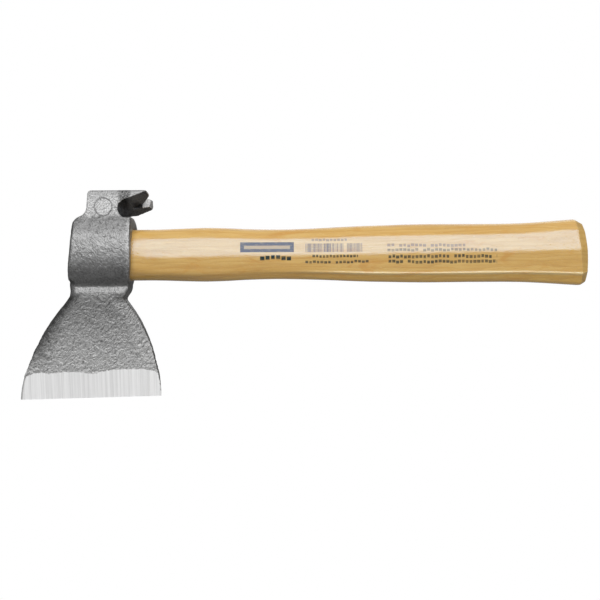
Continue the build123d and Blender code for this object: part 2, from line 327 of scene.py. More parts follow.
class Network:
    """A node tree, with short ways to add the nodes used here."""
    def __init__(self, tree):
        self.tree = tree

    def put(self, socket, value):
        """Links a Value or sets a constant; a colour of three numbers is made opaque."""
        if isinstance(value, Value):
            self.tree.links.new(value.socket, socket)
            return
        if socket.type == "RGBA" and len(value) == 3:
            value = (*value, 1)
        socket.default_value = value

    def node(self, kind, inputs=None, output=0, **settings):
        """Adds a node and returns one of its outputs."""
        made = self.tree.nodes.new(kind)
        for key, setting in settings.items():
            setattr(made, key, setting)
        for key, value in (inputs or {}).items():
            self.put(made.inputs[key], value)
        return Value(self, made.outputs[output])

    def math(self, operation, a, b=0.0, clamp=False):
        return self.node("ShaderNodeMath", {0: a, 1: b}, operation=operation, use_clamp=clamp)

    def absolute(self, value):
        return self.math("ABSOLUTE", value)

    def mix(self, factor, a, b):
        """Colour a at factor 0, b at 1."""
        return self.node("ShaderNodeMix", {0: factor, 6: a, 7: b}, 2, data_type="RGBA")

    def layers(self, base, rows):
        """Lays each (mask, colour) over the colour before it."""
        for mask, colour in rows:
            base = self.mix(mask, base, colour)
        return base

    def mix_value(self, factor, a, b):
        return self.node("ShaderNodeMix", {0: factor, 2: a, 3: b}, data_type="FLOAT")

    def mix_vector(self, factor, a, b):
        return self.node("ShaderNodeMix", {0: factor, 4: a, 5: b}, 1, data_type="VECTOR")

    def tint(self, a, b):
        return self.node("ShaderNodeMix", {0: 1.0, 6: a, 7: b}, 2,
                         data_type="RGBA", blend_type="MULTIPLY")

    def fade(self, value, span, to=(0.0, 1.0)):
        """Eases between the two numbers of "to" as value crosses the span."""
        return self.node("ShaderNodeMapRange",
                         {0: value, 1: span[0], 2: span[1], 3: to[0], 4: to[1]},
                         interpolation_type="SMOOTHSTEP")

    def remap(self, vector, stretch=(1, 1, 1), turn=(0, 0, 0), shift=(0, 0, 0)):
        return self.node("ShaderNodeMapping", {
            "Vector": vector, "Scale": stretch, "Rotation": turn, "Location": shift,
        }, vector_type="POINT")

    def object_mm(self):
        """Object coordinates in millimetres."""
        source = self.node("ShaderNodeTexCoord", output="Object")
        return self.remap(source, stretch=(1000, 1000, 1000))

    def noise(self, vector, scale=1.0, detail=2.0, rough=0.5, distort=0.0,
              stretch=None, shift=None, output="Fac"):
        if stretch or shift:
            vector = self.remap(vector, stretch=stretch or (1, 1, 1), shift=shift or (0, 0, 0))
        return self.node("ShaderNodeTexNoise", {
            "Vector": vector, "Scale": scale, "Detail": detail, "Roughness": rough,
            "Distortion": distort,
        }, output)

    def voronoi(self, vector, scale=1.0, feature="F1"):
        return self.node("ShaderNodeTexVoronoi", {"Vector": vector, "Scale": scale},
                         "Distance", feature=feature)

    def bump(self, height, distance, strength=1.0):
        return self.node("ShaderNodeBump", {
            "Strength": strength, "Distance": distance, "Height": height})

    def attribute(self, name):
        return self.node("ShaderNodeAttribute", output="Fac", attribute_name=name)

    def shifted(self, vector, by):
        return self.node("ShaderNodeVectorMath", {0: vector, 1: by}, operation="ADD")

    def scaled(self, vector, factor):
        return self.node("ShaderNodeVectorMath", {0: vector, "Scale": factor},
                         operation="SCALE")

    def xyz(self, vector):
        x = self.node("ShaderNodeSeparateXYZ", {0: vector})
        outputs = x.socket.node.outputs
        return x, Value(self, outputs[1]), Value(self, outputs[2])

    def combine(self, x, y, z):
        return self.node("ShaderNodeCombineXYZ", {0: x, 1: y, 2: z})


class Material(Network):
    def __init__(self, name):
        self.material = bpy.data.materials.new(name)
        self.material.use_nodes = True
        super().__init__(self.material.node_tree)
        self.bsdf = self.tree.nodes["Principled BSDF"]

    def surface(self, inputs):
        """Sets inputs of the Principled BSDF and returns the material."""
        for key, value in inputs.items():
            self.put(self.bsdf.inputs[key], value)
        return self.material


def grey(level):
    return (level, level, level)


# ============================================================ forged steel
def steel_fields(net):
    """Masks and noises shared by the relief, colour and gloss of the steel."""
    pos = net.object_mm()
    x, _, z = net.xyz(pos)
    on_blade = net.fade(z, span=(-16.0, -24.0))
    warp = net.scaled(net.noise(pos, scale=0.16, output="Color"), 5.0)
    warped = net.shifted(pos, warp)

    # the scale flows up to the grip side on the blade, down to the grip side on the eye
    def grain(vector):
        blade, eye = [
            net.remap(net.remap(vector, turn=(0, math.radians(turn), 0)), stretch=(0.60, 1, 1))
            for turn in (37, -52)]
        return [
            net.mix_value(on_blade,
                          net.noise(eye, scale=scale, detail=1.5, distort=distort),
                          net.noise(blade, scale=scale, detail=1.5, distort=distort))
            for scale, distort in ((0.62, 0.35), (1.15, 0.3))]

    coarse, fine = grain(warped)
    # the same relief a little further up: the difference tells upper flanks from lower ones, for the
    # light and shade painted on the relief
    toward = net.combine(-0.30, 0.0, 0.42)
    coarse_up, fine_up = grain(net.shifted(warped, toward))
    return SimpleNamespace(
        pos=pos, x=x, z=z, on_blade=on_blade, warped=warped, coarse=coarse, fine=fine,
        toward=toward, flank=(coarse - coarse_up) * 0.9 + (fine - fine_up) * 1.0,
        patch=net.noise(pos, scale=0.14, shift=(3, 1, 8)),
        dressed_noise=net.noise(pos, scale=1.25, detail=3.0, rough=0.66),
        dressed=net.attribute("dressed"),      # 1 on the smoother cheeks of the poll
        under=net.attribute("under"),          # 1 under the claw
        edge_shade=net.attribute("edge_shade"),              # 1 where shade is painted on edges and end faces
        by_zone=lambda eye, blade: net.mix_value(on_blade, eye, blade))


def steel_relief(net, steel):
    """Bump of the forged scale, calmer on the dressed poll."""
    by_zone = steel.by_zone
    crest = net.absolute(steel.coarse - 0.5)
    speckle = net.noise(steel.pos, scale=3.1, rough=0.6)
    strength = net.fade(steel.patch, span=(0.38, 0.62), to=(0.80, 1.12))
    cells = net.remap(net.remap(steel.warped, turn=(0, math.radians(37), 0)),
                      stretch=(0.66, 1, 1))
    pebbles = net.voronoi(cells, scale=0.58, feature="SMOOTH_F1")
    # weight of each part of the height: around the eye, on the blade
    height = (steel.coarse * by_zone(0.46, 0.40)
              + crest * by_zone(-0.55, -0.20)
              + pebbles * by_zone(-0.08, -0.42)
              + steel.fine * by_zone(0.40, 0.46)
              + speckle * by_zone(0.05, 0.12))
    height = height * strength * by_zone(0.66, 1.32)
    calm = steel.dressed_noise * 0.66 + net.noise(steel.pos, scale=2.4) * 0.20
    return net.bump(net.mix_value(steel.dressed, height, calm), distance=0.80 * MM)


def steel_pits(net, steel):
    pit_noise = net.noise(steel.pos, scale=0.80, detail=3.0, rough=0.7, shift=(5, 9, 2))
    pits = net.fade(pit_noise, span=(net.mix_value(steel.dressed, 0.60, 0.58),
                                     net.mix_value(steel.dressed, 0.70, 0.66)))
    return pits * net.mix_value(steel.dressed, steel.by_zone(0.60, 0.75), 0.72)


def steel_blotch(net, steel):
    """A ragged dark patch on the poll, X -8 to 0.6 and Z above 28."""
    ragged = net.noise(steel.pos, scale=1.5, detail=3.0, rough=0.7, shift=(2, 2, 2))
    x = steel.x + (ragged - 0.5) * 4.0
    z = steel.z + (ragged - 0.5) * -3.0
    blotch = net.fade(x, span=(-8.0, -5.2)) * (
        net.fade(x, span=(0.6, -1.0)) * net.fade(z, span=(27.8, 30.5)))
    return blotch * net.fade(ragged, span=(0.60, 0.46), to=(0.25, 1.0))


def claw_shade(net, steel):
    """Colour under the claw, partly its darker finish and partly painted shade, and the mask of the
    shade painted in the deep corners of its slot.
    """
    def spot(x, z, radius_x, radius_z):
        across = (steel.x - x) / radius_x
        upward = (steel.z - z) / radius_z
        return net.fade(across * across + upward * upward, span=(1.0, 0.12))

    crease_shade = net.math("MAXIMUM", spot(x=-4.5, z=28.7, radius_x=3.8, radius_z=4.2),
                      spot(x=2.4, z=27.7, radius_x=3.4, radius_z=1.7))
    colour = net.mix(net.fade(steel.dressed_noise, span=(0.36, 0.62)),
                     (0.038, 0.042, 0.047), (0.096, 0.103, 0.114))
    colour = net.layers(colour, [
        # painted shade in the deep corners of the slot
        (crease_shade * 0.94, grey(0.005)),
        # painted highlight along the near edge of the claw
        (spot(x=3.0, z=31.4, radius_x=6.0, radius_z=2.4) * 0.55, (0.105, 0.110, 0.118)),
    ])
    return colour, crease_shade


def steel_colour(net, steel, pits, blotch, valley, under_colour):
    """Dark scale under lacquer, greyer on the crests, black-brown in the pits."""
    z, on_blade, dressed, fine = steel.z, steel.on_blade, steel.dressed, steel.fine
    smooth_noise = steel.dressed_noise
    base = net.mix(net.fade(steel.patch, span=(0.35, 0.65)),
                   (0.060, 0.060, 0.0595), (0.080, 0.080, 0.079))
    dressed_colour = net.mix(net.fade(smooth_noise, span=(0.38, 0.56)), grey(0.30), grey(0.58))
    dressed_colour = net.mix(net.fade(z, span=(30.0, 33.5), to=(0.0, 0.55)),
                             dressed_colour, grey(0.22))
    eye_edge_highlight = net.attribute("eye_edge_highlight") * net.fade(fine, span=(0.42, 0.58))
    base = net.layers(base, [
        (on_blade * 0.85, (0.188, 0.188, 0.187)),
        # slightly greyer up the eye, and across its middle
        ((1.0 - on_blade) * net.fade(z, span=(-4.0, 12.0), to=(0.0, 0.06)), grey(0.20)),
        (net.fade(z, span=(-9.0, 0.0)) * net.fade(z, span=(12.0, 5.0), to=(0.0, 0.24)),
         grey(0.24)),
        # painted highlight on the rounded edge of the eye
        (eye_edge_highlight * 0.55, grey(0.50)),
        # crests of the fine grain painted lighter, as painted light on the relief
        (net.fade(fine, span=(0.48, 0.66), to=(0.0, 0.16)), grey(0.20)),
        # paler down the blade
        (net.fade(z, span=(-26.0, -62.0)) * 0.85, (0.370, 0.370, 0.368)),
        (dressed * 0.88, dressed_colour),
        (pits, (0.012, 0.011, 0.008)),
        (blotch * 0.95, grey(0.026)),
    ])
    # painted light and shade on the relief: upper flanks lighter, lower ones darker, as if lit from
    # above
    dressed_flank = smooth_noise - net.noise(net.shifted(steel.pos, steel.toward),
                                             scale=1.25, detail=3.0, rough=0.66)
    emboss_shade = net.mix_value(dressed, steel.flank * steel.by_zone(0.9, 1.35), dressed_flank * 1.5)
    shade = net.math("MAXIMUM", net.math("MINIMUM", emboss_shade + 1.0, 1.7), 0.40)
    base = net.tint(base, net.combine(shade, shade, shade))
    # brownish end face of the eye, on the grip side: a painted reflection of the wooden grip
    facing, _, _ = net.xyz(net.node("ShaderNodeNewGeometry", output="True Normal"))
    end_face = (net.fade(facing, span=(0.75, 0.92)) * net.fade(steel.x, span=(-2.5, -1.0))
                * net.fade(z, span=(21.0, 20.0)))
    # lighter colour for the far wall of the slot: painted light
    wall_painted_light = net.mix(net.fade(smooth_noise, span=(0.36, 0.60)), grey(0.46), grey(0.72))
    return net.layers(base, [
        (end_face * 0.6, (0.135, 0.116, 0.084)),
        # painted shade on edges and end faces
        (steel.edge_shade * 0.93, (0.014, 0.014, 0.013)),
        # painted shade in the pressed circle and seam
        (net.attribute("groove_shade") * 0.92, grey(0.030)),
        # dark under the claw: partly its darker finish, partly painted shade
        (steel.under * 0.92, under_colour),
        (net.attribute("wall"), wall_painted_light),
        # painted shade in the valleys of the fine grain
        ((1.0 - valley) * net.mix_value(dressed, steel.by_zone(0.30, 0.40), 0.12), grey(0.02)),
    ])


def ground_finish(net, steel):
    """Colour and bump of the bright bevel, with upright wheel marks."""
    wide = net.noise(net.combine(steel.x, 0.0, steel.z * 0.010),
                     scale=0.55, detail=6.0, rough=0.75)
    narrow = net.noise(net.combine(steel.x, 4.0, steel.z * 0.03), scale=4.5, rough=0.6)
    # the pale colour is partly bare ground steel and partly a painted sheen standing for the
    # reflection of the wheel marks
    colour = net.mix(net.fade(wide, span=(0.40, 0.60)), grey(0.745), grey(0.905))
    colour = net.mix(net.attribute("burr"), colour, (0.06, 0.06, 0.058))
    return colour, net.bump(wide * 0.5 + narrow * 0.3, distance=0.02 * MM, strength=0.6)


def forged_steel():
    net = Material("forged_steel")
    steel = steel_fields(net)
    z, under, edge_shade = steel.z, steel.under, steel.edge_shade
    ground = net.attribute("ground")           # 1 on the ground bevel
    pits = steel_pits(net, steel)
    blotch = steel_blotch(net, steel)
    # valleys of the fine grain: less glossy, and darkened in colour as painted shade
    valley = net.fade(steel.fine, span=(0.30, 0.46), to=(steel.by_zone(0.62, 0.50), 1.0))
    under_colour, crease_shade = claw_shade(net, steel)
    base = steel_colour(net, steel, pits, blotch, valley, under_colour)
    ground_colour, ground_bump = ground_finish(net, steel)

    # duller under the eye and over its crown
    lee = net.fade(z, span=(-3.0, -10.0)) * net.fade(z, span=(-16.5, -14.5))
    crown = net.fade(z, span=(10.2, 14.2)) * (1.0 - steel.dressed)
    dull = 1.0 - (lee * 0.42 + crown * 0.34)
    specular = valley * steel.by_zone(0.60, 0.46) * (1.0 - pits * 0.6)
    for mask in (under, edge_shade, blotch):
        specular = specular * (1.0 - mask * 0.8)
    specular = specular * dull * (1.0 - under * crease_shade * 0.9)
    uneven = net.noise(steel.pos, scale=0.7, detail=3.0, rough=0.6) * 0.14
    roughness = steel.by_zone(0.35, 0.34) + uneven
    coat = (1.0 - ground) * (1.0 - net.math("MAXIMUM", under, edge_shade))
    return net.surface({
        "Base Color": net.mix(ground, base, ground_colour),
        "Metallic": 0.0,
        "IOR": net.mix_value(under, 2.15, 1.5),
        "Specular IOR Level": net.mix_value(ground, specular, 0.5),
        "Roughness": net.mix_value(ground, net.mix_value(under, roughness, 0.6), 0.45),
        "Normal": net.mix_vector(ground, steel_relief(net, steel), ground_bump),
        "Coat Weight": coat * (steel.by_zone(0.24, 0.12) * dull),
        "Coat Roughness": 0.21,
    })


# ============================================================ section of the eye
def catmull_ring(outline, samples):
    """Closed smooth curve through the outline, with this many samples a span."""
    outline = np.array(outline, float)
    spans = []
    count = len(outline)
    t = np.linspace(0, 1, samples, endpoint=False)[:, None]
    for i in range(count):
        before, start, end, after = [outline[(i + j) % count] for j in (-1, 0, 1, 2)]
        spans.append(0.5 * (2 * start + (end - before) * t
                            + (2 * before - 5 * start + 4 * end - after) * t ** 2
                            + (3 * start - before - 3 * end + after) * t ** 3))
    return np.vstack(spans)


def section_radius_function():
    """Radius of the eye section at an angle, both measured in parts of its half sizes."""
    mirrored = [(-y, z) for y, z in reversed(EYE_SECTION[1:])]
    curve = catmull_ring(EYE_SECTION + [(0.0, -1.0)] + mirrored, 24)
    angle = np.arctan2(curve[:, 1], curve[:, 0])
    radius = np.hypot(curve[:, 0], curve[:, 1])
    order = np.argsort(angle)
    angle, radius = angle[order], radius[order]
    angle = np.concatenate([angle - 2 * np.pi, angle, angle + 2 * np.pi])
    radius = np.concatenate([radius, radius, radius])
    return lambda at: np.interp(at, angle, radius)


section_radius = section_radius_function()


# ============================================================ head
# Left side of the blade: depth below Z = 0, X
LEFT_SIDE = np.array([
    (22.6, -34.9), (25.3, -37.0), (30.9, -41.8), (37.5, -46.7), (44.2, -50.9), (50.8, -54.35),
    (57.5, -57.3), (64.1, -59.8), (70.7, -61.75), (75.5, -62.75), (79.78, -63.24)])
LEFT_SIDE_UPPER = LEFT_SIDE[:8]      # down to the top of the bevel

# Right side of the blade: depth below Z = 0, X
RIGHT_SIDE = np.array([
    (24.2, -4.35), (28.6, -1.4), (34.5, 2.6), (41.2, 6.0), (47.9, 8.9), (54.6, 11.0),
    (61.2, 12.5)])

# Upper boundary of the ground bevel: X, Z
BEVEL_BOUNDARY = np.array([
    (-66.0, -75.5), (-62.6, -71.5), (-61.4, -69.0), (-59.7, -67.0), (-56.0, -65.0),
    (-51.2, -64.8), (-47.3, -65.3), (-39.1, -64.4), (-28.6, -64.5), (-24.1, -65.4),
    (-21.0, -65.4), (-19.0, -64.4), (-15.0, -63.8), (-11.0, -63.2), (3.1, -62.9),
    (8.0, -63.4), (11.6, -64.1), (13.3, -65.8), (14.3, -68.0), (16.0, -70.0)])

CIRCLE_X, CIRCLE_Z, CIRCLE_RADIUS = -14.94, 26.05, 4.82   # pressed into the poll
CLAW_TILT = math.radians(22)


def side_x(table, z):
    return np.interp(-z, table[:, 0], table[:, 1])


def above_edge(x, z):
    """Height above the cutting edge, square to it."""
    return (-(x - EDGE_LEFT[0]) * math.sin(EDGE_ANGLE)
            + (z - EDGE_LEFT[1]) * math.cos(EDGE_ANGLE))


def eye_distance(mm):
    """Distance from the axis of the eye: 1 on its wall, less inside."""
    y, z = mm[:, 1] / EYE_HALF_Y, mm[:, 2] / EYE_HALF_Z
    return np.hypot(y, z) / section_radius(np.arctan2(z, y))


def head_edge_limit(points):
    """Longest mesh edge allowed at points, both in metres."""
    mm = points / MM
    x, y, z = mm.T
    far = y > 1.0
    height = above_edge(x, z)
    boundary = (height < 16.6) & (height > 13.0)
    limit = np.where(far, 1.80, 1.05)
    limit[boundary] = 0.60
    limit[boundary & far] = 1.00
    limit[(z > 20) & (x <= -8) & ~far] = 0.55
    limit[(z > 20) & (x > -8)] = 0.70
    limit[(eye_distance(mm) < 1.01) & (x < -0.8) & (x > -32.0)] = 4.0
    return limit * MM


def head_edge_radius(mm):
    """How far the rounding reaches from sharp edges, by place."""
    x, y, z = mm.T
    height = above_edge(x, z)
    side = (z < -14) & (height > 15)
    left = x < -24
    radius = np.full(len(mm), 1.15)
    for place, value in (
            (side & left, 2.9 - 1.5 * smooth(-26, -58, z)),
            (side & ~left, 0.75),
            ((z > -14) & (x > -10), 0.75),
            (z > 22, 0.85),
            ((z > 20.4) & (x > -8.5), 0.55),
            ((z > 21.5) & (z < 32) & (x < -3.0) & (x > -12) & (y < 0), 1.0)):
        radius = np.where(place, value, radius)
    radius = radius * smooth(14.5, 19.0, height)
    eye_mouth = np.where((x > -1.2) | (x < -31.5), 0.45, 0.0)
    return np.where(eye_distance(mm) < 1.03, eye_mouth, radius)


def thin_cheeks(points):
    """The hammered cheeks thin out towards both sides of the upper blade."""
    x, _, z = (points / MM).T
    inward = np.minimum(x - side_x(LEFT_SIDE_UPPER, z), side_x(RIGHT_SIDE, z) - x)
    points[:, 1] *= (1 - 0.40 * smooth(9.0, -1.5, inward) * smooth(-20.5, -27, z)
                     * smooth(-62, -46, z))


def claw_faces(skin, tris, normals):
    """Face masks: under the claw (before the slot is added), in the slot, on its wall."""
    x, y, z = skin.mm[tris].mean(axis=1).T
    normal_x, normal_y, normal_z = normals.T
    ruled = np.abs(normal_y * math.cos(CLAW_TILT) - normal_z * math.sin(CLAW_TILT)) < 0.42
    under = (ruled & (normal_z < 0.55) & (z > 20.6) & (x > -8.2)
             & ~((x > 6.5) & (normal_x > 0.6)) & (np.abs(normal_y) < 0.93))
    inner = (normal_y < -0.55) & (y > -3.0) & (z > 21.0)
    slot = inner & (z < 33) & (x > -1.2) & (x <= 4.3)
    wall = inner & (x > 4.3)
    return under.astype(float), slot, wall.astype(float)


def forging_relief(skin, dressed, under):
    """Height of the long waves, hammer dents and scale, kept off the wall of the eye."""
    mm, x, y, z = skin.mm, skin.x, skin.y, skin.z
    warped = mm + np.stack([perlin(mm / 5.0, seed) for seed in (11, 12, 13)], 1) * 1.6
    turn = math.radians(36)
    # stretched along the flow of the scale
    flow = np.stack([
        (warped[:, 0] * math.cos(turn) + warped[:, 2] * math.sin(turn)) / 2.3,
        warped[:, 1],
        -warped[:, 0] * math.sin(turn) + warped[:, 2] * math.cos(turn)], 1)
    waves = perlin(mm / 13.0, 21) * 0.10
    dents = ((perlin(flow / 2.1, 22) * 0.135 + perlin(flow / 1.25, 23) * 0.065 * (y < 1.0))
             * (1 + 0.35 * smooth(-16, -26, z)))
    pits = np.maximum(0, perlin(flow / 1.6, 24) - 0.45) * -0.22
    zone = 0.6 + 0.4 * smooth(-0.3, 0.4, perlin(mm / 11.0, 25))
    relief = waves + (dents + pits) * zone
    # rougher at both sides of the lower blade
    from_middle = np.where(x < -24.5, -24.5 - x, (x + 24.5) * 0.85)
    lower = smooth(-34, -56, z) * smooth(12, 30, from_middle)
    relief += lower * (np.abs(perlin(flow / 1.8, 26)) * -0.48 + perlin(mm / 2.4, 27) * 0.26)
    relief = relief * (1 - 0.80 * dressed) * (1 - 0.6 * under)
    off_eye = smooth(1.02, 1.10, skin.eye) + ((x < -36) | (x > 1.0))
    return relief * np.clip(off_eye, 0, 1)


def grind_bevel(points, skin, relief):
    """Applies the relief and cuts the bevel planes into it, so that their boundary wanders.

    Returns the new points and the ground mask.
    """
    x, y, z, height, side = skin.x, skin.y, skin.z, skin.height, skin.side
    plane = EDGE_HALF + BEVEL_SLOPE * height
    cheek = (skin.across > 0.8) & (height < 24)
    boundary = above_edge(x, np.interp(x, BEVEL_BOUNDARY[:, 0], BEVEL_BOUNDARY[:, 1]))
    jag = (perlin(np.stack([x / 0.9, side * 3, z / 4.0], 1), 31) * 0.34
           + perlin(np.stack([x / 2.2, side * 7, z / 9.0], 1), 32) * 0.30)
    below = boundary + jag - height          # above 0 on the ground part
    ground = smooth(-0.10, 0.10, below) * cheek
    shaped = points + skin.normal * (relief * MM)[:, None] * (1 - ground)[:, None]

    # above the boundary the cheek starts on the grinding plane and eases to its own thickness
    up = height - boundary
    lift = smooth(0, 9.0, up)
    forged_half = (EDGE_HALF + BEVEL_SLOPE * boundary) + (up > 0) * up * 0.045
    forged = forged_half * (1 - lift) + np.abs(y) * lift + relief * smooth(0, 2.0, up) * 0.8
    half = np.where(below > 0, plane, np.minimum(forged, plane))
    blended = cheek & (height > 9) & (height < 24)
    shaped[:, 1] = np.where(blended, side * half * MM, shaped[:, 1])

    # the wall of the eye and the honed edge stay as they were
    eye_wall = (skin.eye < 1.012) & (x < 0.6) & (x > -36)
    kept = eye_wall | (height < 0.6)
    shaped[kept] = points[kept]
    return shaped, ground


def press_marks(shaped, skin):
    """Presses a circle and a seam into the near cheek of the poll; returns the mask of the shade
    painted in them.
    """
    mm, x, z = skin.mm, skin.x, skin.z
    near = (skin.y < 0) & (z > 19) & (skin.across > 0.7)
    from_centre = np.hypot(x - CIRCLE_X, z - CIRCLE_Z)
    groove = bell(from_centre - CIRCLE_RADIUS, 0.30) * 0.24
    inner = smooth(4.9, 4.5, from_centre) * 0.03
    from_seam = x - (-8.35 + 0.35 * np.sin(z * 1.1))
    seam = bell(from_seam, 0.30) * smooth(20.4, 21.6, z) * smooth(29.0, 27.2, z) * 0.14
    seam = seam * (0.35 + 0.65 * smooth(-0.2, 0.3, perlin(mm / 1.6, 41)))
    shaped[:, 1] += np.where(near, (groove + inner) * MM, 0)
    shaped[:, 1] += np.where(near, seam * MM, 0)
    # painted shade along the seam and round the pressed circle
    dark_seam = (bell(from_seam, 0.75) * smooth(20.4, 21.6, z) * smooth(29.5, 27.2, z)
                 * smooth(0.05, 0.45, perlin(mm / 1.3, 43)) * near)
    return np.clip(dark_seam + bell(from_centre - CIRCLE_RADIUS, 0.36) * near, 0, 1)


def edge_shade_mask(skin, ground):
    """Painted shade on edges and end faces, wider along the left side of the upper blade."""
    x, z, across = skin.x, skin.z, skin.across
    edge_shade = (smooth(0.80, 0.50, across) * (skin.height > 1.0)
           * (np.abs(skin.normal[:, 2]) < 0.93))
    edge_shade = edge_shade * np.where((z > 20.6) & (x >= -20), 0.0, 1.0)
    edge_shade = edge_shade * np.where((z > -27) & (x > -10), 0.72, np.where(x > -24, 0.85, 1.0))
    edge_shade = edge_shade * np.where((z > -14.5) & (x > -10), 0.0, 1.0)
    edge_shade = edge_shade * np.where((x > -31) & (x < -2) & (z > -17), 0.0, 1.0)
    top = smooth(34.15, 34.75, z) * (across > 0.25) * (skin.y < 0) * 0.50
    edge_shade = np.maximum(edge_shade, top)
    inward = (x - side_x(LEFT_SIDE_UPPER, z)) + perlin(skin.mm / 3.0, 61) * 2.2
    width = np.interp(-z, [24, 40, 56], [9.0, 10.5, 15.0])
    left = smooth(width, 1.2, inward) * smooth(-19, -24, z) * smooth(-66, -52, z)
    left = left * np.interp(-z, [24, 46, 52, 64], [0.90, 0.86, 0.76, 0.62])
    return np.clip(np.maximum(edge_shade, left) * (ground < 0.5), 0, 1)


def build_head():
    points, tris = weld(*mesh_arrays(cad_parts["head"]))
    points, tris = refine(points, tris, head_edge_limit)
    eye = eye_distance(points / MM)
    thin_cheeks(points)
    points = round_edges(points, tris, head_edge_radius)

    mm = points / MM
    x, y, z = mm.T
    normal = vertex_normals(points, tris)
    skin = SimpleNamespace(
        mm=mm, x=x, y=y, z=z, eye=eye, height=above_edge(x, z), side=np.sign(y),
        normal=normal, across=np.abs(normal[:, 1]))

    under_faces, slot, wall = claw_faces(skin, tris, unit_rows(face_crosses(points, tris)))
    under = np.zeros(len(points))
    for corner in range(3):
        column = tris[:, corner]
        under[column] = np.maximum(under[column], under_faces)
    # the slot takes the dark colour under the claw, as painted shade
    under_faces = np.where(slot, 1.0, under_faces) * (1 - wall)

    calm = smooth(20.5, 23.5, z) * (1 - under)
    relief = forging_relief(skin, calm, under)
    shaped, ground = grind_bevel(points, skin, relief)
    groove_shade = press_marks(shaped, skin)

    dressed = (smooth(19.0, 23.5, z + perlin(mm / 1.8, 44) * 1.6)
               * np.where(y < 0, 1.0, 0.65))
    burr = (smooth(0.95, 0.25, x - side_x(LEFT_SIDE, z))
            * (skin.height < 17) * (skin.height > 0.2) * 0.85)
    # painted highlight on the rounded edge of the eye, on the grip side, where it catches light
    eye_edge_highlight = (smooth(-2.6, -1.4, x) * smooth(0.35, -0.4, x) * smooth(-14, -11, z)
            * smooth(20.5, 18, z) * (skin.across > 0.4))
    eye_edge_highlight = eye_edge_highlight * (0.35 + 0.65 * smooth(-0.3, 0.4, perlin(mm / 2.4, 47)))
    head = make_object(
        "forged_head", shaped, tris, forged_steel(),
        {"ground": ground, "dressed": dressed, "edge_shade": edge_shade_mask(skin, ground),
         "burr": burr, "eye_edge_highlight": eye_edge_highlight, "groove_shade": groove_shade},
        {"under": under_faces, "wall": wall}, sharp_angle=38)
    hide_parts("head")
    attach(head, "root")


build_head()

# ============================================================ stamp on the grip
# Rows of printed dabs, mm: X from, X to, Z from, Z to, pitch, part of the dabs kept
STAMP_ROWS = (
    (70.1, 87.5, -4.1, -0.8, 2.9, 1.1),
    (98.2, 117.7, 6.35, 8.2, 2.0, 1.1),
    (98.7, 123.7, -2.8, -0.75, 1.85, 1.1),
    (94.8, 129.6, -5.75, -3.7, 2.05, 0.8),
    (139.5, 182.5, 2.85, 5.1, 2.15, 0.86),
    (139.5, 199.9, 0.35, 2.5, 2.15, 0.86),
    (140.0, 199.3, -3.35, -0.85, 2.1, 0.86),
    (140.0, 199.3, -6.2, -3.75, 2.1, 0.84),
)
# Rectangles, mm: X from, X to, Z from, Z to
STAMP_BLOCK = (59.5, 88.8, 0.75, 6.25)
STAMP_RULE = (61.6, 86.7, 2.55, 4.35)      # reversed out of the block
STAMP_BARS = (95.0, 126.2, 0.6, 5.35)
STAMP_BAR_GAP = (116.2, 117.4, 0, 6)
BAR_PITCH = 0.78


def box_mask(net, x, z, box, soft=0.12):
    """1 inside the rectangle."""
    left, right, bottom, top = box
    return (net.fade(x, span=(left - soft, left + soft))
            * net.fade(x, span=(right + soft, right - soft))
            * net.fade(z, span=(bottom - soft, bottom + soft))
            * net.fade(z, span=(top + soft, top - soft)))


def random_cells(net, x, start, pitch, seed=None):
    """Cells along X: distance from the cell's middle, and three random numbers a cell."""
    along = (x - start) / pitch
    cell = net.math("FLOOR", along)
    from_middle = net.absolute(along - cell - 0.5)
    key = cell + seed * 31.7 if seed else cell
    noise = net.node("ShaderNodeTexWhiteNoise", {"W": key}, "Color", noise_dimensions="1D")
    return from_middle, net.xyz(noise)


def dab_row(net, x, z, seed, row):
    """A row of plain dabs of uneven height and width; spells nothing."""
    left, right, bottom, top, pitch, kept = row
    from_middle, (chance, breadth, offset) = random_cells(net, x, left, pitch, seed)
    on = net.math("LESS_THAN", chance, kept)
    wide = 0.36 + breadth * 0.12
    tall = top - bottom
    middle = (bottom + top) / 2 + (offset - 0.5) * (tall * 0.30)
    dabs = (net.fade(from_middle, span=(wide, wide - 0.10))
            * net.fade(net.absolute(z - middle), span=(tall * 0.40, tall * 0.26)) * on)
    return dabs * box_mask(net, x, z, (left, right, bottom - 0.3, top + 0.3))


def stamp_bars(net, x, z):
    """Upright bars of uneven width and strength."""
    from_middle, (breadth, strength, _) = random_cells(net, x, STAMP_BARS[0], BAR_PITCH)
    bars = net.fade(from_middle, span=(0.22 + breadth * 0.36, 0.10 + breadth * 0.36))
    return (bars * (0.45 + strength * 0.5) * box_mask(net, x, z, STAMP_BARS)
            * (1.0 - box_mask(net, x, z, STAMP_BAR_GAP)))


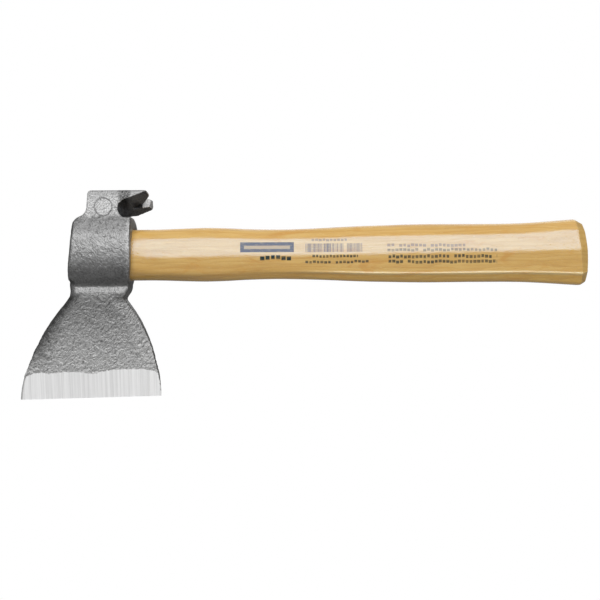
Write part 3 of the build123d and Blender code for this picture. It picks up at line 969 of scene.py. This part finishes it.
def stamp_print(net, pos, colour):
    """Worn stamp on the near side; returns the printed colour and the ink mask."""
    x, y, z = net.xyz(pos)
    near = net.fade(y, span=(-4.0, -6.0))
    wear = net.noise(pos, detail=3.0, rough=0.65, stretch=(0.35, 1.2, 1.2))
    patches = net.noise(pos, stretch=(0.12, 0.5, 0.5), shift=(3, 3, 3))
    thin = net.fade(wear, span=(0.70, 0.50), to=(0.80, 1.0))
    blot = net.fade(patches, span=(0.30, 0.60), to=(0.75, 1.0))
    rule = box_mask(net, x, z, STAMP_RULE, soft=0.30)
    block = box_mask(net, x, z, STAMP_BLOCK) * (1.0 - rule * 0.62)
    rows = [dab_row(net, x, z, seed, row) for seed, row in enumerate(STAMP_ROWS, start=1)]
    pale = rows[1] + 0.0 + rows[4]         # adding nothing leaves the row as it is
    dark = rows[2] + rows[3] + rows[6] + rows[7]
    warm_ink = (block * 1.0 + (stamp_bars(net, x, z) + pale * 0.55)) * thin
    warm_ink = net.math("MULTIPLY", warm_ink, near, clamp=True)
    black_ink = (rows[0] * 1.0 + (dark * 0.88 + rows[5] * 0.62)) * (thin * blot)
    black_ink = net.math("MULTIPLY", black_ink, near, clamp=True)
    colour = net.layers(colour, [
        (warm_ink, (0.110, 0.082, 0.088)),
        (black_ink, (0.020, 0.030, 0.022)),
    ])
    return colour, net.math("MAXIMUM", warm_ink, black_ink)


# ============================================================ varnished wood
def wood_colour(net, pos, end, fibre, pores):
    """Pale lacquered wood, grain along X, before the stamp."""
    # growth rings: shells round a pith that runs beside the handle, slightly askew
    tree = net.remap(pos, turn=(0.35, math.radians(1.6), math.radians(-1.1)),
                     shift=(0, 31, -44))
    _, tree_y, tree_z = net.xyz(tree)
    wobble = net.noise(tree, detail=3.0, rough=0.55, distort=0.4, stretch=(0.012, 0.09, 0.09))
    from_pith = net.math("SQRT", tree_y * tree_y + tree_z * tree_z)
    ring = net.math("FRACT", from_pith * 0.34 + wobble * 5.2)
    late = net.fade(ring, span=(0.35, 0.93)) * net.fade(ring, span=(1.0, 0.93))
    streak = net.noise(pos, detail=4.0, rough=0.6, distort=0.2, stretch=(0.018, 0.42, 0.42))
    fleck = net.noise(pos, rough=0.6, stretch=(0.34, 1.5, 1.5))
    figure = net.noise(pos, detail=3.0, rough=0.6, distort=1.2,
                       stretch=(0.045, 0.11, 0.11), shift=(7, 3, 1))
    grime = net.noise(pos, detail=4.0, rough=0.6, stretch=(0.03, 0.1, 0.1), shift=(11, 5, 2))
    # the ring figure fades under the painted highlight of the upper flats
    quiet = 1.0 - net.attribute("highlight_band") * 0.55
    colour = net.mix(net.fade(streak, span=(0.30, 0.70)),
                     (0.800, 0.515, 0.180), (0.715, 0.420, 0.122))
    colour = net.layers(colour, [
        (late * 0.36 * quiet, (0.600, 0.300, 0.070)),
        (net.fade(figure, span=(0.54, 0.72), to=(0.0, 0.62)), (0.700, 0.345, 0.075)),
        (net.fade(fibre, span=(0.52, 0.72), to=(0.0, 0.35)), (0.560, 0.300, 0.085)),
        (net.fade(fleck, span=(0.60, 0.74), to=(0.0, 0.30)), (0.860, 0.640, 0.300)),
        (pores * 0.45, (0.300, 0.150, 0.045)),
        (net.fade(grime, span=(0.52, 0.75), to=(0.0, 0.10)), (0.30, 0.17, 0.06)),
    ])
    # end grain: ring arcs and pores, soaked darker by the varnish
    end_pores = net.voronoi(net.remap(pos, stretch=(0.2, 1.9, 1.9)))
    end_patches = net.noise(pos, detail=4.0, rough=0.6, stretch=(0.1, 0.35, 0.35))
    end_colour = net.mix(net.fade(ring, span=(0.25, 0.95)),
                         (0.575, 0.368, 0.115), (0.505, 0.302, 0.082))
    end_colour = net.layers(end_colour, [
        (net.fade(end_pores, span=(0.30, 0.12), to=(0.0, 0.28)), (0.22, 0.115, 0.035)),
        (net.fade(end_patches, span=(0.35, 0.7), to=(0.0, 0.4)), (0.64, 0.42, 0.15)),
    ])
    colour = net.tint(net.mix(end, colour, end_colour), (0.92, 0.91, 0.81))
    # painted light and shade: upper flats paler and cooler as a painted highlight, lower flanks
    # darker as painted shade, the lowest facet brighter as painted light from below, and a painted
    # highlight on the lower ridge
    highlight_band = net.attribute("highlight_band") * net.fade(fleck, span=(0.30, 0.60), to=(0.75, 1.0))
    ridge = net.attribute("ridge") * net.fade(fleck, span=(0.25, 0.50), to=(0.6, 1.0))
    for mask, shade in (
            (highlight_band, (0.97, 1.00, 1.15)),
            (net.attribute("flank"), (0.905, 0.905, 0.85)),
            (net.attribute("keel_painted_light"), (1.32, 1.27, 0.98)),
            (ridge, (1.35, 1.62, 2.60))):
        colour = net.mix(mask, colour, net.tint(colour, shade))
    return colour


def varnished_wood():
    net = Material("varnished_grip")
    pos = net.object_mm()
    end = net.attribute("end")               # 1 on end grain
    fibre = net.noise(pos, detail=3.0, rough=0.65, stretch=(0.10, 2.6, 2.6))
    # short open pores
    pore_cells = net.voronoi(net.remap(pos, stretch=(0.22, 2.3, 2.3)))
    pores = net.fade(pore_cells, span=(0.16, 0.07)) * net.fade(
        net.noise(pos, stretch=(0.02, 0.3, 0.3)), span=(0.44, 0.60))
    colour, ink = stamp_print(net, pos, wood_colour(net, pos, end, fibre, pores))
    gloss = 0.10 + net.noise(pos, detail=3.0, stretch=(0.1, 0.5, 0.5)) * 0.12
    height = (net.noise(pos, scale=0.9, detail=3.0, rough=0.6, stretch=(0.16, 1.0, 1.0)) * 0.7
              + net.noise(pos, scale=0.75, rough=0.55) * 0.55
              - pores * 0.5
              + net.noise(pos, detail=3.0, stretch=(0.3, 2.2, 2.2)) * end * 2.2
              + net.noise(pos, detail=3.0, rough=0.65, stretch=(0.34, 1.9, 1.9)) * 0.95)
    return net.surface({
        "Base Color": colour,
        "IOR": 1.55,
        "Specular IOR Level": net.mix_value(end, 0.86, 0.5) * (1.0 - ink * 0.48),
        "Specular Tint": (0.36, 0.69, 1.0),
        "Roughness": net.mix_value(end, gloss, 0.6) + fibre * 0.05,
        "Coat Weight": net.mix_value(end, 0.12, 0.35) * (1.0 - ink * 0.35),
        "Coat IOR": 1.55,
        "Coat Roughness": gloss,
        "Normal": net.bump(height, distance=0.085 * MM),
        "Coat Normal": net.bump(height, distance=0.095 * MM),
    })


# ============================================================ grip
# Stations of the grip, mm: X, half height, half thickness
STATIONS = np.array([
    (-36.0, EYE_HALF_Z, EYE_HALF_Y), (-18.0, EYE_HALF_Z, EYE_HALF_Y),
    (0.0, EYE_HALF_Z, EYE_HALF_Y), (9.0, EYE_HALF_Z, EYE_HALF_Y),
    (22.6, 14.40, 11.35), (42.6, 14.86, 11.60), (62.5, 14.10, 11.10), (82.5, 13.74, 10.85),
    (102.5, 14.27, 11.10), (122.5, 15.20, 11.60), (142.5, 15.80, 12.00), (162.4, 16.12, 12.20),
    (189.1, 16.02, 12.20), (209.1, 16.15, 12.40), (222.4, 16.70, 12.80), (235.7, 17.60, 13.40),
    (244.8, 18.22, 13.80)])
CHAMFER_X, BUTT_HALF_Z, BUTT_HALF_Y = STATIONS[-1]
BUTT_X = 249.6
BUTT_LEAN = -0.085                    # X per Z of the sections near the butt
DOME_RADIUS, DOME_Z = 110.0, -5.2     # sphere that closes the butt
BUTT_CENTRE_Z = -1.5
CHAMFER_IN, CHAMFER_LONG = 4.6, 8.0   # slope of the chamfer: inward, along X

FIRST_X, EYE_END_X = -34.5, 2.0
WEDGE_END_X = -32.8                   # middle of the leaning cut at the wedge end
WEDGE_END_LEAN = 2.7 / 29.5
WEDGE_ARRIS = 0.32
BODY_START_X = -28.5

# Heights of the section's corners, as parts of the half height, along X
CORNER_X = [20, 80, 142, 200, 240]
UPPER_CORNER = [0.625, 0.61, 0.61, 0.64, 0.695]
MIDDLE_CORNER = [-0.13, -0.08, -0.02, 0.02, 0.07]
LOWER_CORNER = [-0.74, -0.73, -0.715, -0.70, -0.67]


def natural_spline(xs, ys, at):
    count = len(xs)
    gap = np.diff(xs)
    matrix = np.zeros((count, count))
    right = np.zeros(count)
    matrix[0, 0] = matrix[-1, -1] = 1
    for i in range(1, count - 1):
        matrix[i, i - 1:i + 2] = gap[i - 1], 2 * (gap[i - 1] + gap[i]), gap[i]
        right[i] = 6 * ((ys[i + 1] - ys[i]) / gap[i] - (ys[i] - ys[i - 1]) / gap[i - 1])
    bend = np.linalg.solve(matrix, right)
    i = np.clip(np.searchsorted(xs, at) - 1, 0, count - 2)
    t = at - xs[i]
    slope = (ys[i + 1] - ys[i]) / gap[i] - gap[i] * (2 * bend[i] + bend[i + 1]) / 6
    return ys[i] + t * slope + t ** 2 * bend[i] / 2 + t ** 3 * (bend[i + 1] - bend[i]) / (6 * gap[i])


def half_outline(corners, ease, flat_steps, corner_steps=6):
    """Flats between the corners, which are eased by curves that start this far from them."""
    eased = []
    for i in range(1, len(corners) - 1):
        back = corners[i - 1] - corners[i]
        ahead = corners[i + 1] - corners[i]
        eased.append((corners[i] + back / np.linalg.norm(back) * ease[i],
                      corners[i] + ahead / np.linalg.norm(ahead) * ease[i]))
    outline = []
    current = corners[0]
    for i in range(1, len(corners)):
        last = i == len(corners) - 1
        target = corners[i] if last else eased[i - 1][0]
        for j in range(flat_steps[i - 1]):
            part = j / flat_steps[i - 1]
            if i == 4:                # closer together towards the lower ridge
                part = 1 - (1 - part) ** 1.9
            outline.append(current + (target - current) * part)
        if not last:
            start, end = eased[i - 1]
            for j in range(corner_steps):
                part = j / corner_steps
                outline.append((1 - part) ** 2 * start + 2 * part * (1 - part) * corners[i]
                               + part * part * end)
            current = end
    outline.append(corners[-1])
    return np.array(outline)


def facet_section(x, half_z, half_y):
    """Section of the grip at x: (N, 2) of Y, Z, easing from the eye's section to flats."""
    upper, middle, lower = [np.interp(x, CORNER_X, heights)
                            for heights in (UPPER_CORNER, MIDDLE_CORNER, LOWER_CORNER)]
    crisp = float(smooth(60, 125, np.array(x)))
    corners = np.array([
        (0.0, 1.0), (0.38, 0.99), (0.845 - (upper - 0.57) * 0.55, upper), (1.003, middle),
        (0.885 + (lower + 0.715) * -0.25, lower), (0.42, -0.99), (0.0, -1.0),
    ]) * (half_y, half_z)
    outline = half_outline(corners, ease=[0, 2.6, 1.3, 1.6, 2.2 - 1.75 * crisp, 2.0, 0],
                           flat_steps=[5, 9, 12, 17, 8, 5])
    # raised lip above the lower ridge
    lip = bell(np.abs(outline[:, 1] - (corners[4][1] + 0.20)), 0.50) * 0.160 * crisp
    outline[:, 0] += lip * (outline[:, 0] > 0.7 * half_y)
    full = np.vstack([outline, (outline * (-1, 1))[1:-1][::-1]])
    part = full / (half_y, half_z)
    angle = np.arctan2(part[:, 1], part[:, 0])
    in_eye = section_radius(angle) - 0.002
    weight = float(smooth(1.5, 13.0, np.array(x)))
    radius = in_eye * (1 - weight) + np.hypot(part[:, 0], part[:, 1]) * weight
    return np.stack([half_y * radius * np.cos(angle), half_z * radius * np.sin(angle)], 1)


def long_rings():
    """Positions along X and the rings of the long part of the grip."""
    xs = np.concatenate([np.linspace(FIRST_X, EYE_END_X, 16)[:-1],
                         np.linspace(EYE_END_X, CHAMFER_X - 0.35, 212)])
    half_z = natural_spline(STATIONS[:, 0], STATIONS[:, 1], xs)
    half_y = natural_spline(STATIONS[:, 0], STATIONS[:, 2], xs)
    rings = []
    for i, x in enumerate(xs):
        section = facet_section(x, half_z[i], half_y[i])
        lean = BUTT_LEAN * float(smooth(190.0, CHAMFER_X, np.array(x)))
        rings.append(np.column_stack([x + lean * section[:, 1], section]))
    return xs, rings


def wedge_end_rings(first, body_first):
    """(ring, end grain) pairs of the leaning cut with its eased arris, up to the body."""
    pairs = []
    # scale of the section, offset along X, end grain
    for scale, offset, end in ((0.35, 0, 1), (0.62, 0, 1), (0.82, 0, 1), (0.93, 0, 1),
                               (0.975, 0, 1), (0.992, 0.10, 1), (1.0, WEDGE_ARRIS, 0)):
        ring = first.copy()
        ring[:, 1:] *= scale
        ring[:, 0] = WEDGE_END_X + ring[:, 2] * WEDGE_END_LEAN + offset
        pairs.append((ring, end))
    cut = WEDGE_END_X + first[:, 2] * WEDGE_END_LEAN
    for part in (0.25, 0.5, 0.75):
        ring = first.copy()
        ring[:, 0] = (cut + WEDGE_ARRIS) * (1 - part) + body_first[:, 0] * part
        pairs.append((ring, 0))
    return pairs


def dome_x(y, z):
    return BUTT_X - DOME_RADIUS + np.sqrt(DOME_RADIUS ** 2 - y ** 2 - (z - DOME_Z) ** 2)


def butt_rings():
    """(ring, end grain) pairs of the chamfer and the dome of the butt."""
    last = facet_section(CHAMFER_X, BUTT_HALF_Z, BUTT_HALF_Y)

    def chamfer(t):
        scale_z = 1 - CHAMFER_IN * t / BUTT_HALF_Z
        scale_y = 1 - CHAMFER_IN * t / BUTT_HALF_Y
        return np.column_stack([CHAMFER_X + CHAMFER_LONG * t + BUTT_LEAN * last[:, 1] * scale_z,
                                last[:, 0] * scale_y, last[:, 1] * scale_z])

    # halving search for where the chamfer meets the dome
    low, high = np.zeros(len(last)), np.ones(len(last))
    for _ in range(30):
        middle = (low + high) / 2
        ring = chamfer(middle)
        over = ring[:, 0] > dome_x(ring[:, 1], ring[:, 2])
        high = np.where(over, middle, high)
        low = np.where(over, low, middle)
    meet = (low + high) / 2
    pairs = [(chamfer(meet * part), 0.75) for part in (0.06, 0.14, 0.35, 0.6, 0.8, 0.93)]
    pairs.append((chamfer(meet * 0.985), 0.9))
    for scale in (0.985, 0.965, 0.90, 0.80, 0.66, 0.50, 0.33, 0.16):
        ring = chamfer(meet)
        ring[:, 1] *= scale
        ring[:, 2] = BUTT_CENTRE_Z + (ring[:, 2] - BUTT_CENTRE_Z) * scale
        ring[:, 0] = dome_x(ring[:, 1], ring[:, 2]) - (0.10 if scale > 0.98 else 0.0)
        pairs.append((ring, 1.0))
    return pairs


def sand_unevenly(mm, end):
    """Hand-sanded unevenness of the long faces and the butt."""
    radius = np.maximum(np.hypot(mm[:, 1], mm[:, 2]), 1e-6)
    uneven = perlin(mm / (26.0, 5.0, 5.0), 51) * 0.10 + perlin(mm / (9.0, 2.6, 2.6), 52) * 0.030
    push = uneven * smooth(3.0, 14.0, mm[:, 0]) * (1 - smooth(0.5, 0.9, end))
    for axis in (1, 2):
        mm[:, axis] += mm[:, axis] / radius * push
    at_butt = (mm[:, 0] > 245.0) & (end > 0.95)
    mm[:, 0] += np.where(at_butt, perlin(mm / 4.0, 53) * 0.05, 0.0)


def closed_tube(rings, ring_size):
    """Triangles of a tube whose two end centres follow the ring points."""
    start = np.arange(rings - 1)[:, None] * ring_size
    here = np.arange(ring_size)
    after = (here + 1) % ring_size
    quads = np.stack([start + here, start + ring_size + here,
                      start + ring_size + after, start + after], -1).reshape(-1, 4)
    first_centre = rings * ring_size
    last_ring = (rings - 1) * ring_size
    return np.vstack([
        quads[:, [0, 1, 2]], quads[:, [0, 2, 3]],
        np.stack([np.full(ring_size, first_centre), here, after], 1),
        np.stack([np.full(ring_size, first_centre + 1), last_ring + after, last_ring + here], 1)])


def grip_masks(mm, end):
    """Where the flats, flanks, lower ridge and lowest facet of the grip lie, as masks for the light
    and shade painted on the wood.
    """
    x, _, z = mm.T
    half_z = np.interp(x, STATIONS[:, 0], STATIONS[:, 1])
    top = np.interp(x, CORNER_X[::2], UPPER_CORNER[::2])
    bottom = np.interp(x, CORNER_X[::2], MIDDLE_CORNER[::2])
    ridge_z = np.interp(x, CORNER_X, LOWER_CORNER) * half_z
    wavy = (z / half_z + perlin(mm / (16.0, 4.0, 2.5), 71) * 0.075
            + perlin(mm / (4.5, 2.0, 1.2), 72) * 0.045)
    highlight_band = smooth(bottom - 0.07, bottom + 0.03, wavy) * smooth(top + 0.05, top - 0.05, wavy)
    return {
        "end": end,
        "highlight_band": highlight_band * (x > 2) * (1 - end),
        # lower flanks: painted shade
        "flank": smooth(bottom + 0.03, bottom - 0.07, wavy) * (1 - end),
        # lower ridge: a painted highlight
        "ridge": bell(z - ridge_z - 0.15, 0.75) * smooth(70, 135, x) * (1 - end),
        # lowest facet: painted light from below
        "keel_painted_light": smooth(ridge_z - 0.3, ridge_z - 1.3, z) * smooth(20, 80, x) * (1 - end),
    }


def pocket_prisms():
    """Outline and half depth vector, mm, of the saw kerf and the two steel wedge pockets."""
    mouth = -36.0
    kerf_end, pocket_end = mouth + 26.6, mouth + 18.6
    prisms = [([(mouth, -1.6, 0), (kerf_end, -0.4, 0), (kerf_end, 0.4, 0), (mouth, 1.6, 0)],
               (0, 0, 12.9))]
    for z in (7.2, -7.2):
        prisms.append(([(mouth, 0, z - 1.1), (pocket_end, 0, z - 0.25),
                        (pocket_end, 0, z + 0.25), (mouth, 0, z + 1.1)], (0, 6.5, 0)))
    return prisms


def make_prism(outline, half_depth):
    corners = [(np.array(point) + side * np.array(half_depth)) * MM
               for side in (-1, 1) for point in outline]
    count = len(outline)
    faces = [tuple(range(count)), tuple(range(2 * count - 1, count - 1, -1))]
    faces += [(i, count + i, count + (i + 1) % count, (i + 1) % count) for i in range(count)]
    mesh = bpy.data.meshes.new("pocket")
    mesh.from_pydata([tuple(corner) for corner in corners], [], faces)
    mesh.update()
    shell = bmesh.new()
    shell.from_mesh(mesh)
    bmesh.ops.recalc_face_normals(shell, faces=shell.faces)
    shell.to_mesh(mesh)
    shell.free()
    prism = bpy.data.objects.new("pocket", mesh)
    collection.objects.link(prism)
    return prism


def cut_pockets(grip):
    """Cuts the kerf and the pockets into the wedge end and keeps the result as the mesh."""
    cutters = [make_prism(*prism) for prism in pocket_prisms()]
    for cutter in cutters:
        cut = grip.modifiers.new("pocket", "BOOLEAN")
        cut.operation = "DIFFERENCE"
        cut.solver = "EXACT"
        cut.object = cutter
    bpy.context.view_layer.update()
    depsgraph = bpy.context.evaluated_depsgraph_get()
    baked = bpy.data.meshes.new_from_object(
        grip.evaluated_get(depsgraph), preserve_all_data_layers=True, depsgraph=depsgraph)
    grip.modifiers.clear()
    whole = grip.data
    grip.data = baked
    bpy.data.meshes.remove(whole)
    for cutter in cutters:
        bpy.data.objects.remove(cutter, do_unlink=True)


def build_grip():
    xs, rings = long_rings()
    body = [ring for x, ring in zip(xs, rings) if x >= BODY_START_X]
    pairs = wedge_end_rings(rings[0], body[0]) + [(ring, 0) for ring in body] + butt_rings()
    ring_size = len(rings[0])
    mm = np.vstack([ring for ring, _ in pairs])
    end = np.repeat(np.array([value for _, value in pairs], float), ring_size)
    sand_unevenly(mm, end)
    mm = np.vstack([mm, [(WEDGE_END_X, 0, 0)],
                    [(float(dome_x(0.0, BUTT_CENTRE_Z)), 0, BUTT_CENTRE_Z)]])
    end = np.concatenate([end, [1.0, 1.0]])
    tris = closed_tube(len(pairs), ring_size)
    # a negative volume means that the faces look inward
    if (mm[tris[:, 0]] * np.cross(mm[tris[:, 1]], mm[tris[:, 2]])).sum() < 0:
        tris = tris[:, ::-1].copy()
    grip = make_object("grip_handle", mm * MM, tris, varnished_wood(), grip_masks(mm, end), {},
                       sharp_angle=30)
    cut_pockets(grip)
    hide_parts("handle")
    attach(grip, "root")


build_grip()


# ============================================================ wedges
def wedge_steel():
    """Thin strip: scratches along the drive, a little rust bloom."""
    net = Material("wedge_steel")
    pos = net.object_mm()
    scratch = net.noise(pos, detail=4.0, rough=0.7, stretch=(0.2, 3.0, 3.0))
    rust = net.noise(pos, scale=1.3, detail=4.0, rough=0.65)
    colour = net.mix(net.fade(scratch, span=(0.3, 0.7)), (0.34, 0.34, 0.335), grey(0.20))
    return net.surface({
        "Base Color": net.mix(net.fade(rust, span=(0.56, 0.70), to=(0.0, 0.7)),
                              colour, (0.13, 0.075, 0.04)),
        "Metallic": 0.75,
        "Roughness": 0.32 + rust * 0.25,
        "Normal": net.bump(scratch * 0.5 + rust, distance=0.10 * MM),
    })


def wedge_wood():
    """Darker unvarnished wood."""
    net = Material("wedge_wood")
    pos = net.object_mm()
    grain = net.noise(pos, detail=4.0, rough=0.6, distort=0.3, stretch=(0.05, 2.4, 0.9))
    fibre = net.noise(pos, detail=3.0, rough=0.6, stretch=(0.3, 5.0, 5.0))
    colour = net.mix(net.fade(grain, span=(0.3, 0.7)),
                     (0.42, 0.23, 0.085), (0.27, 0.135, 0.045))
    return net.surface({
        "Base Color": net.mix(net.fade(fibre, span=(0.55, 0.72), to=(0.0, 0.6)),
                              colour, (0.13, 0.06, 0.02)),
        "Roughness": 0.62,
        "IOR": 1.45,
        "Normal": net.bump(grain + fibre * 0.7, distance=0.18 * MM),
    })


def finish_wedge(node_name, material):
    """Gives a CAD wedge its material and small bevelled edges."""
    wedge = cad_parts[node_name]
    if not wedge.material_slots:
        wedge.data.materials.append(material)
    for slot in wedge.material_slots:
        slot.material = material
    bevel = wedge.modifiers.new("arris", "BEVEL")
    bevel.width = 0.18 * MM
    bevel.segments = 2
    bevel.limit_method = "ANGLE"


finish_wedge("wood_wedge", wedge_wood())
finish_wedge("steel_wedges", wedge_steel())


# ============================================================ studio, in metres
# Brightness of the surroundings: height from straight down (0) to straight up (1), level
SKY_STOPS = [(0.0, 0.02), (0.36, 0.03), (0.46, 0.07), (0.52, 0.12), (0.62, 0.22),
             (0.80, 0.34), (1.0, 0.38)]


def build_world():
    """White to the camera; to all else a grey sky, dimmer towards both ends of X."""
    world = bpy.data.worlds.new("studio")
    scene.world = world
    world.use_nodes = True
    net = Network(world.node_tree)
    net.tree.nodes.clear()
    x, _, z = net.xyz(net.node("ShaderNodeTexCoord", output="Generated"))
    height = net.node("ShaderNodeMapRange", {0: z, 1: -1.0, 2: 1.0})
    sky = net.node("ShaderNodeValToRGB", {0: height})
    stops = sky.socket.node.color_ramp.elements
    while len(stops) < len(SKY_STOPS):
        stops.new(0.5)
    for stop, (position, level) in zip(stops, SKY_STOPS):
        stop.position = position
        stop.color = (*grey(level), 1)
    sideways = net.node("ShaderNodeMath", {0: x}, operation="ABSOLUTE")
    dimming = net.fade(sideways, span=(0.45, 0.80), to=(1.0, 0.25))
    lighting = net.node("ShaderNodeBackground", {0: net.tint(sky, dimming), 1: 1.0})
    backdrop = net.node("ShaderNodeBackground", {0: grey(1), 1: 1.0})
    to_camera = net.node("ShaderNodeLightPath", output="Is Camera Ray")
    mixed = net.node("ShaderNodeMixShader", {0: to_camera, 1: lighting, 2: backdrop})
    output = net.tree.nodes.new("ShaderNodeOutputWorld")
    net.put(output.inputs[0], mixed)


def area_light(name, location, target, size_x, size_y, strength):
    """A rectangular light aimed at target; strength is for each unit of its area."""
    light = bpy.data.lights.new(name, "AREA")
    light.shape = "RECTANGLE"
    light.size = size_x
    light.size_y = size_y
    light.energy = strength * math.pi * size_x * size_y
    lamp = bpy.data.objects.new(name, light)
    collection.objects.link(lamp)
    lamp.rotation_mode = "QUATERNION"
    lamp.location = location
    lamp.rotation_quaternion = (Vector(target) - Vector(location)).to_track_quat("-Z", "Y")
    lamp.visible_camera = False


def build_lights():
    middle = (0.09, 0.0, 0.0)
    front_x, front_distance, front_rise = 0.16, 1.1, math.radians(28)
    area_light("soft_front",
               location=(front_x, -front_distance * math.cos(front_rise),
                         front_distance * math.sin(front_rise)),
               target=(front_x, 0.0, 0.0), size_x=1.35, size_y=0.80, strength=4.0)
    area_light("soft_back", location=(0.15, 0.75, 0.95), target=middle,
               size_x=1.5, size_y=0.5, strength=1.0)
    area_light("soft_rear", location=(0.10, 1.20, 0.50), target=middle,
               size_x=1.5, size_y=0.7, strength=0.9)


def floor_material():
    """White to the camera, grey to the light that it bounces."""
    net = Material("floor")
    net.tree.nodes.remove(net.bsdf)
    white = net.node("ShaderNodeEmission", {0: grey(1), 1: 1.0})
    bounce = net.node("ShaderNodeBsdfDiffuse", {0: grey(0.40)})
    to_camera = net.node("ShaderNodeLightPath", output="Is Camera Ray")
    mixed = net.node("ShaderNodeMixShader", {0: to_camera, 1: bounce, 2: white})
    net.put(net.tree.nodes["Material Output"].inputs["Surface"], mixed)
    return net.material


def build_floor():
    """A wide square just under the cutting edge."""
    half, gap = 6.0, 0.0002
    z = min(cad_bounds[0][2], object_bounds()[0][2]) - gap
    material = floor_material()
    mesh = bpy.data.meshes.new("floor")
    mesh.from_pydata([(-half, -half, z), (half, -half, z), (half, half, z), (-half, half, z)],
                     [], [(0, 1, 2, 3)])
    mesh.materials.append(material)
    floor = bpy.data.objects.new("floor", mesh)
    collection.objects.link(floor)


def build_camera():
    """Looks along +Y, slightly rolled."""
    distance, view_width = 0.590, 0.333       # width seen at Y = 0
    roll = 0.00662
    lens = bpy.data.cameras.new("camera")
    lens.sensor_width = 36.0
    lens.lens = lens.sensor_width * distance / view_width
    lens.clip_start = 0.01
    lens.clip_end = 50.0
    camera = bpy.data.objects.new("camera", lens)
    collection.objects.link(camera)
    cosine, sine = math.cos(roll), math.sin(roll)
    camera.matrix_world = Matrix((
        (cosine, sine, 0, 0.09196),
        (0, 0, -1, -distance),
        (-sine, cosine, 0, -0.02542),
        (0, 0, 0, 1)))
    scene.camera = camera


build_world()
build_lights()
build_floor()
build_camera()
scene.view_settings.view_transform = "Standard"
